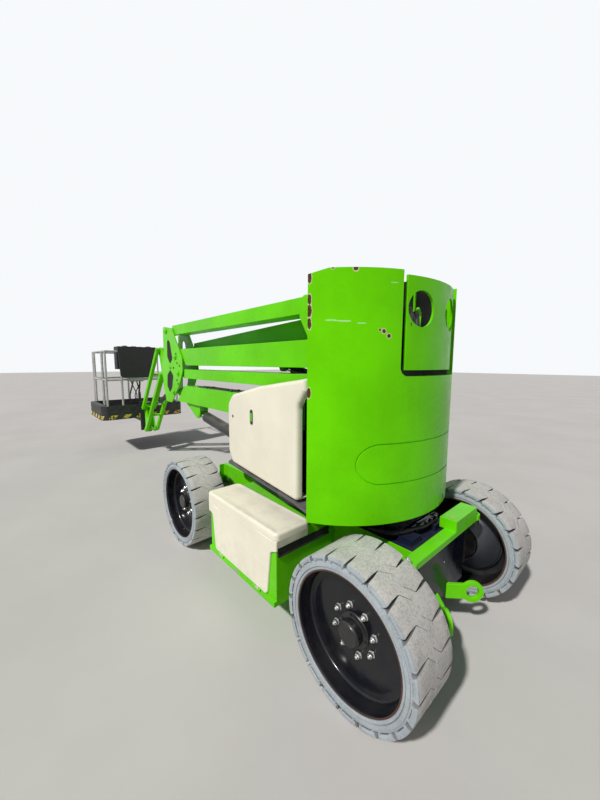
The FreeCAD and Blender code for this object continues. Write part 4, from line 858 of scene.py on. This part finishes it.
def make_pod_cover(side, sign):
    s = Shape()
    x0, x1 = POD_X
    lid = [(x0, POD_IN_Y, 0.040), (x1, POD_IN_Y, 0.045), (x1, POD_OUT_Y, 0.030), (x0, POD_OUT_Y, 0.030)]
    s.shell(lid, on_top(POD_TOP, sign), LID_RINGS, "cream")
    # the lid's lower part: a wall round three sides whose rear end slopes in beneath
    wall, yi, yo = POD_WALL, POD_IN_Y + 0.02, POD_OUT_Y - POD_GAP - 0.007
    yw = yo - wall - 0.01
    rows = []
    for z, rear, front in LID_WALL:
        xr, xf = x0 + POD_GAP + rear, x1 - POD_GAP - front
        outer = ((xf, yi), (xf, yo - 0.025), (xf - 0.008, yo - 0.007), (xf - 0.025, yo), (xr + 0.025, yo),
                 (xr + 0.008, yo - 0.007), (xr, yo - 0.025), (xr, yi))
        inner = ((xr + wall, yi), (xr + wall, yw), (xf - wall, yw), (xf - wall, yi))
        rows.append([P(x, sign * y, z) for x, y in outer + inner])
    s.loft(rows, "cream")
    # skirt down the outside, tapering to the hinge
    rear, front, foot = x0 + POD_GAP, x1 - POD_GAP, POD_HINGE_Z + 0.001
    skirt = [(rear, 0.609, 0.0), (rear, 0.548, 0.012), (x0 + 0.062, POD_HEM + 0.020, 0.030),
             (x0 + 0.096, foot, 0.034), (x1 - 0.096, foot, 0.034), (x1 - 0.062, POD_HEM, 0.030),
             (front, POD_HEM, 0.012), (front, 0.609, 0.0)]
    out = on_side(POD_OUT_Y - POD_GAP, sign)
    s.shell(skirt, out, [(0.018, 0.0), (0.010, 0.0), (0.0040, 0.0012), (0.0008, 0.0045), (0.0, 0.0080),
                         (0.0, 0.0115)], "cream")
    # pressed ribs: one beside the front edge, a long one under the lid, and a raised field between them
    for rib in ((0.190, 0.262, 0.197, 0.556), (-0.425, 0.594, -0.268, 0.600)):
        s.shell(rectangle(*rib, 0.003), out, [(-0.0012, 0.0006), (0.0, -0.0016), (0.0024, -0.0020)], "cream")
    field = [(0.212, 0.268, 0.02), (0.262, 0.268, 0.02), (0.300, 0.500, 0.03), (0.300, 0.570, 0.03),
             (0.212, 0.570, 0.02)]
    s.shell(field, out, [(-0.002, 0.0006), (0.0, -0.0014), (0.003, -0.0024), (0.012, -0.0024)], "cream")
    # knuckles, pins and leaves of the hinge
    y = sign * POD_OUT_Y
    for at in (x0 + 0.19, x1 - 0.19):
        for half, radius, steps, chamfer in ((0.013, 0.008, 20, 0.001), (0.026, 0.004, 14, 0.0008)):
            s.rod(P(at - half, y, POD_HINGE_Z), P(at + half, y, POD_HINGE_Z), radius, "steel", steps, chamfer)
        s.block((at - 0.012, sign * (POD_OUT_Y - 0.016), POD_HINGE_Z), (at + 0.012, y, POD_HINGE_Z + 0.010),
                "steel")
    name = "pod_cover_" + side
    s.build(name + "_moulding", name, replaces=(name,))


def make_pod_trim(side, sign):
    """What stays on the chassis round each pod: near-black blocks at both ends, painted shadow in the gap
    under the lid, each above a thin black strip, and a blank plate in the grey of painted shade.
    """
    s = Shape()
    for x, out in ((POD_X[0] + 0.017, -1), (POD_X[1] - 0.017, 1)):
        s.block((x, sign * 0.30, 0.512), (x + out * 0.004, sign * 0.712, 0.556), "void")
        s.block((x, sign * 0.30, 0.506), (x + out * 0.009, sign * 0.714, 0.513), "black_plastic")
    s.shell(rectangle(-0.052, 0.2145, 0.006, 0.2365, 0.003), on_side(POD_OUT_Y, sign),
            [(0.002, -0.0016), (0.0, -0.0008), (0.0, 0.001)], "cream_under")
    s.build("pod_trim_" + side, "chassis", 30.0)


# Near-black sheets that paint the shadow behind the counterweight's slot and the canopies' open rear edges,
# with dark slats and hoses
SHADE_SHROUD = ((-0.655, 0.757, 0.01), (-0.350, 0.757, 0.01), (-0.350, 1.375, 0.04), (-0.470, 1.455, 0.05),
          (-0.655, 1.470, 0.02))
SHADE_SHROUD_Y = 0.432
# y, z, radius and material of the hoses seen through the holes above the counterweight's slot
SHADE_GUARD_HOSES = ((0.215, 1.79, 0.016, "hose"), (0.180, 1.765, 0.013, "hose"), (0.145, 1.775, 0.016, "hose"),
               (0.120, 1.800, 0.011, "green"), (-0.150, 1.78, 0.016, "hose"), (-0.190, 1.77, 0.013, "hose"))


def make_turret_insides():
    s = Shape()
    # near-black board and side sheets: painted shadow inside the turret
    shade_board = [(-0.262, 1.262, 0.03), (0.262, 1.262, 0.03), (0.262, 1.604, 0.02), (-0.262, 1.604, 0.02)]
    s.shell(shade_board, on_rear(-0.902), slab(0.006, 0.002), "void")
    for _, sign in SIDES:
        s.shell(SHADE_SHROUD, on_side(SHADE_SHROUD_Y, sign), slab(0.012, 0.003), "void")
        for k in range(9):
            z = 0.84 + 0.055 * k
            s.block((-0.640, sign * SHADE_SHROUD_Y, z), (-0.365, sign * (SHADE_SHROUD_Y + 0.006), z + 0.020),
                    "black_satin")
        for x, r in ((-0.615, 0.012), (-0.585, 0.009), (-0.555, 0.012)):
            s.tube([P(x, sign * 0.452, 0.762), P(x + 0.01, sign * 0.455, 0.90),
                    P(x - 0.02, sign * 0.462, 1.10), P(x, sign * 0.455, 1.25),
                    P(x + 0.03, sign * 0.425, 1.36)], r, "hose")
    s.build("turret_shade_shrouds", "turret", 30.0)
    g = Shape()
    # near-black sheet: painted shadow behind the counterweight's slot
    shade_guard = [(-0.252, 1.560, 0.02), (0.252, 1.560, 0.02), (0.252, 2.016, 0.05), (-0.252, 2.016, 0.05)]
    g.shell(shade_guard, on_rear(-0.872), slab(0.006, 0.002), "void")
    for y, z, r, key in SHADE_GUARD_HOSES:
        g.tube([P(-0.880, y - 0.02, z - 0.13), P(-0.905, y, z - 0.05), P(-0.912, y + 0.012, z + 0.01),
                P(-0.900, y - 0.01, z + 0.06), P(-0.880, y - 0.03, z + 0.09)], r, key, 12)
    g.build("rear_shade_guard", "rear_knuckle", 30.0)


# The chassis' dark rear end below the counterweight
DECK_TOP, REAR_FACE_X, PUMP_X = 0.6020, -1.0567, -0.905
PUMP = ((0.0200, 0.0), (0.0250, 0.004), (0.0255, 0.060), (0.0235, 0.064), (0.0235, 0.070), (0.0255, 0.074),
        (0.0255, 0.200), (0.0262, 0.204), (0.0262, 0.222), (0.0200, 0.226), (0.0200, 0.280))
PANEL_SCREWS = ((-0.010, 0.469, "steel"), (0.262, 0.572, "hub"), (-0.262, 0.572, "hub"),
                (0.262, 0.276, "hub"), (-0.262, 0.276, "hub"))
# y, height of the arch, radius and shift forward of the pump's hoses
DECK_HOSES = ((-0.16, 0.648, 0.008, 0.00), (-0.10, 0.646, 0.008, 0.02), (-0.04, 0.644, 0.007, 0.04))
# opposite corners of the plain boxes on the deck, above their common underside
DECK_BOXES = ((-0.975, -0.185, -0.945, -0.055, 0.6400), (-0.870, -0.190, -0.760, 0.150, 0.6420),
              (-0.970, 0.105, -0.880, 0.205, 0.6380))


def make_rear_end():
    s = Shape()
    s.shell(rectangle(-1.036, -0.236, -0.610, 0.236, 0.006), on_top(DECK_TOP),
            [(0.0012, 0.0), (0.0, 0.0010), (0.0, 0.0035)], "motor", 3)
    s.shell(rectangle(-0.2835, 0.252, 0.2835, 0.5955, 0.004), on_rear(REAR_FACE_X),
            [(0.0015, 0.0), (0.0, 0.0015), (0.0, 0.0050)], "panel_gloss", 3)
    for y, z, key in PANEL_SCREWS:
        s.head(P(REAR_FACE_X, y, z), BACK, (0.0055, -0.001, 0.0014), (0.0035, 0.0026), key, 16)
    # pump motor lying across the deck, with its flange, ports and hoses
    s.lathe(P(PUMP_X, -0.205, 0.6285), LEFT, PUMP, "motor", 32)
    for x0, y0, x1, y1, top in DECK_BOXES:
        s.block((x0, y0, DECK_TOP - 0.0005), (x1, y1, top), "motor")
    for y, z, r, shift in DECK_HOSES:
        s.rod(P(-0.925, y, 0.640), P(-0.925, y, 0.6545), 0.009, "steel", 14, 0.001)
        s.tube([P(-0.925, y, 0.645), P(-0.945, y + 0.03, z), P(-0.940 + shift / 2, y + 0.10, 0.640),
                P(-0.880 + shift, 0.175, 0.636 - shift / 8), P(-0.790 + shift, 0.215, 0.620),
                P(-0.700, 0.222, 0.612)], r, "hose")
    s.build("rear_deck", "chassis")


# A near-black sheet behind the front knuckle's slots, painted shadow in them, near-black discs as painted
# shadow in its holes, and washers and bolts over its pins
KNUCKLE_OUT_Y, KNUCKLE_IN_Y = 0.314, 0.3025
KNUCKLE_SHADE_SHEET = ((1.930, 1.348, 0.06), (2.195, 1.125, 0.03), (2.370, 1.125, 0.03), (2.422, 1.300, 0.05),
                 (2.505, 1.555, 0.05), (2.400, 1.715, 0.05), (2.390, 2.020, 0.03), (2.115, 1.985, 0.05),
                 (1.850, 1.635, 0.08), (1.845, 1.500, 0.06))
KNUCKLE_PINS = ((2.110, 1.240), (2.030, 1.660), (1.960, 1.470), (2.300, 1.975))
KNUCKLE_HOLES = ((2.001, 1.700), (1.978, 1.590), (2.090, 1.535), (1.994, 1.392), (1.962, 1.350),
                 (2.190, 1.531), (1.905, 1.560))


def make_knuckle_trim():
    s = Shape()
    s.shell(KNUCKLE_SHADE_SHEET, on_side(KNUCKLE_IN_Y), [(0.006, -0.0010), (0.005, 0.0), (0.005, 0.0035)],
            "void", 4)
    for x, z in KNUCKLE_PINS:
        s.lathe(P(x, KNUCKLE_OUT_Y - 0.001, z), LEFT, [(0.030, 0.0), (0.030, 0.004), (0.027, 0.006),
                                                       (0.012, 0.006)], "green", 32)
        s.head(P(x, KNUCKLE_OUT_Y + 0.004, z), LEFT, (0.0145, 0.0, 0.008), (0.0125, 0.0105), "green", 6)
    # near-black discs in the holes: painted shadow
    for x, z in KNUCKLE_HOLES:
        s.lathe(P(x, KNUCKLE_OUT_Y - 0.002, z), LEFT, [(0.0100, 0.0), (0.0100, 0.0026), (0.0075, 0.0030),
                                                       (0.0001, 0.0010)], "void", 20)
    s.build("knuckle_trim", "front_knuckle")


def make_rod_trim():
    """A painted dot and nuts on the track rod."""
    s = Shape()
    s.lathe(P(-1.046, -0.118, 0.6985), UP, [(0.0075, 0.0), (0.0075, 0.0011), (0.0001, 0.0012)], "orange", 20)
    for _, sign in SIDES:
        s.head(P(-1.056, sign * 0.400, 0.652), UP, (0.0150, 0.0, 0.009), (0.0130, 0.0115), "steel", 6)
        s.head(P(-1.056, sign * 0.400, 0.650), UP, (0.0078, 0.0, 0.0190), (0.0062, 0.0205), "steel", 14)
    s.build("track_rod_trim", "track_rod")


def make_link_trim():
    """Dark hoses strapped along the top of the lower link; their dark also paints the shade along its top."""
    s = Shape()
    start, end, top = -0.36, 1.60, 1.330
    for y, r in ((0.180, 0.007), (0.210, 0.006), (0.240, 0.007)):
        s.tube([P(start, y, top - 0.004), P(start + 0.10, y, top + r), P(0.35, y + 0.004, top + r + 0.001),
                P(1.00, y - 0.004, top + r), P(end - 0.10, y, top + r), P(end, y, top - 0.004)], r, "hose", 8)
    for x in (-0.15, 0.35, 0.85, 1.35):
        s.block((x - 0.012, 0.162, top - 0.001), (x + 0.012, 0.258, top + 0.0165), "black_satin")
        for y in (0.166, 0.254):
            s.lathe(P(x, y, top + 0.016), UP, [(0.0050, 0.0), (0.0050, 0.003), (0.0001, 0.0035)], "steel", 6)
    s.build("lower_link_hoses", "lower_link")


# Control box details in the cage: grey shelf, lumps under the cover, and leads down to the floor
LUMPS = ((4.400, -0.110, 0.055, 0.030), (4.420, 0.020, 0.045, 0.022), (4.395, 0.130, 0.060, 0.026),
         (4.430, 0.260, 0.050, 0.034), (4.480, 0.350, 0.035, 0.020), (4.500, -0.170, 0.035, 0.018))
LEADS = ((4.41, 0.05, 0.014, 0.03), (4.44, 0.10, 0.010, -0.05), (4.40, 0.16, 0.012, 0.07),
         (4.46, 0.02, 0.008, 0.11), (4.43, 0.20, 0.008, -0.09))


def make_console_trim():
    s = Shape()
    s.shell(rectangle(4.320, -0.150, 4.575, 0.290, 0.02), on_top(1.337), slab(0.013, 0.003), "zinc", 4)
    s.shell(rectangle(4.345, -0.020, 4.480, 0.230, 0.03), on_top(1.325),
            [(0.002, 0.0), (0.002, 0.012), (0.010, 0.048), (0.030, 0.062)], "zinc", 5)
    for x, y, r, tall in LUMPS:
        s.lathe(P(x, y, 1.852), UP, [(r, 0.0), (r * 0.98, tall * 0.35), (r * 0.80, tall * 0.75),
                                     (r * 0.45, tall * 0.95), (0.0001, tall)], "cover_cloth", 20)
    s.shell(rectangle(4.306, -0.212, 4.583, 0.397, 0.012), on_top(1.8665),
            [(0.020, 0.0), (0.004, 0.001), (0.0, 0.005), (0.0, 0.011), (0.004, 0.015), (0.020, 0.015)],
            "cover_cloth", 4)
    for x, y, r, sway in LEADS:
        s.tube([P(x, y, 1.29), P(x - 0.01, y + sway * 0.4, 1.18), P(x - 0.015, y + sway, 1.02),
                P(x - 0.005, y + sway * 0.7, 0.86), P(x + 0.01, y + 0.02, 0.74),
                P(x + 0.06, y + 0.03, 0.712)], r, "hose")
    s.build("console_trim", "cage", 34.0)


def make_cage_mat():
    """A sheet on the cage's floor with staggered grip bars."""
    s = Shape()
    s.shell(rectangle(4.385, -0.560, 5.365, 0.560, 0.05), on_top(0.6925),
            [(0.001, 0.0), (0.0, 0.001), (0.0, 0.004)], "deck", 4)
    for i in range(32):
        for j in range(18):
            x, y = 4.405 + 0.030 * i, -0.525 + 0.0605 * j + (0.030 if i % 2 else 0.0)
            if y < 0.54:
                s.block((x - 0.0025, y - 0.011, 0.6920), (x + 0.0025, y + 0.011, 0.6938), "zinc")
    s.build("cage_mat", "cage", 34.0)


make_camera()
make_light()
for place in ("front", "rear"):
    for side, sign in SIDES:
        make_tyre(place, side, sign)
        make_rim(place, side, sign)
for side, sign in SIDES:
    make_canopy(side, sign)
    make_pod_cover(side, sign)
    make_pod_trim(side, sign)
make_turret_insides()
make_rear_end()
make_knuckle_trim()
make_rod_trim()
make_link_trim()
make_console_trim()
make_cage_mat()

LOOKS = {
    "green": "chassis_frame pod_tub_left pod_tub_right tie_down_front tie_down_rear track_rod turret_frame "
             "lower_link lower_tie front_knuckle upper_link upper_tie rear_knuckle boom_inner nose_bracket "
             "jib_lower_arms jib_upper_arms jib_head",
    # the boom's outer part takes the darker lime paint, painted shade
    "green_painted_shade": "boom_outer",
    "weight": "counterweight",
    "black_plastic": "battery_packs",
    "deck": "slew_ring turret_base engine_block",
    "axle": "front_axle rear_axle steer_knuckle_left steer_knuckle_right",
    "black_satin": "hydraulic_tank cage_mount riser_cylinder_barrel boom_cylinder_barrel jib_cylinder_barrel",
    "hazard": "cage_floor",
    "zinc": "cage_frame cage_gate",
    "cover_cloth": "console_cover",
    "chrome": "riser_cylinder_rod boom_cylinder_rod jib_cylinder_rod",
}
for key, names in LOOKS.items():
    for node in names.split():
        soften(node, key)

FLOOR_HALF = 60.0
FLOOR_DARK, FLOOR_LIGHT = (0.54, 0.52, 0.50), (0.58, 0.56, 0.54)


def make_floor():
    mesh = bpy.data.meshes.new("floor")
    r = FLOOR_HALF
    mesh.from_pydata([(-r, -r, 0), (r, -r, 0), (r, r, 0), (-r, r, 0)], [], [(0, 1, 2, 3)])
    floor = bpy.data.objects.new("floor", mesh)
    bpy.context.scene.collection.objects.link(floor)
    n = Nodes("floor_pale")
    n.colour(n.mix(n.band(n.noise(0.8, 4.0), 0.3, 0.7), FLOOR_DARK, FLOOR_LIGHT))
    n.rough(0.9)
    n.shader.inputs["Specular IOR Level"].default_value = 0.2
    mesh.materials.append(n.material)


make_floor()
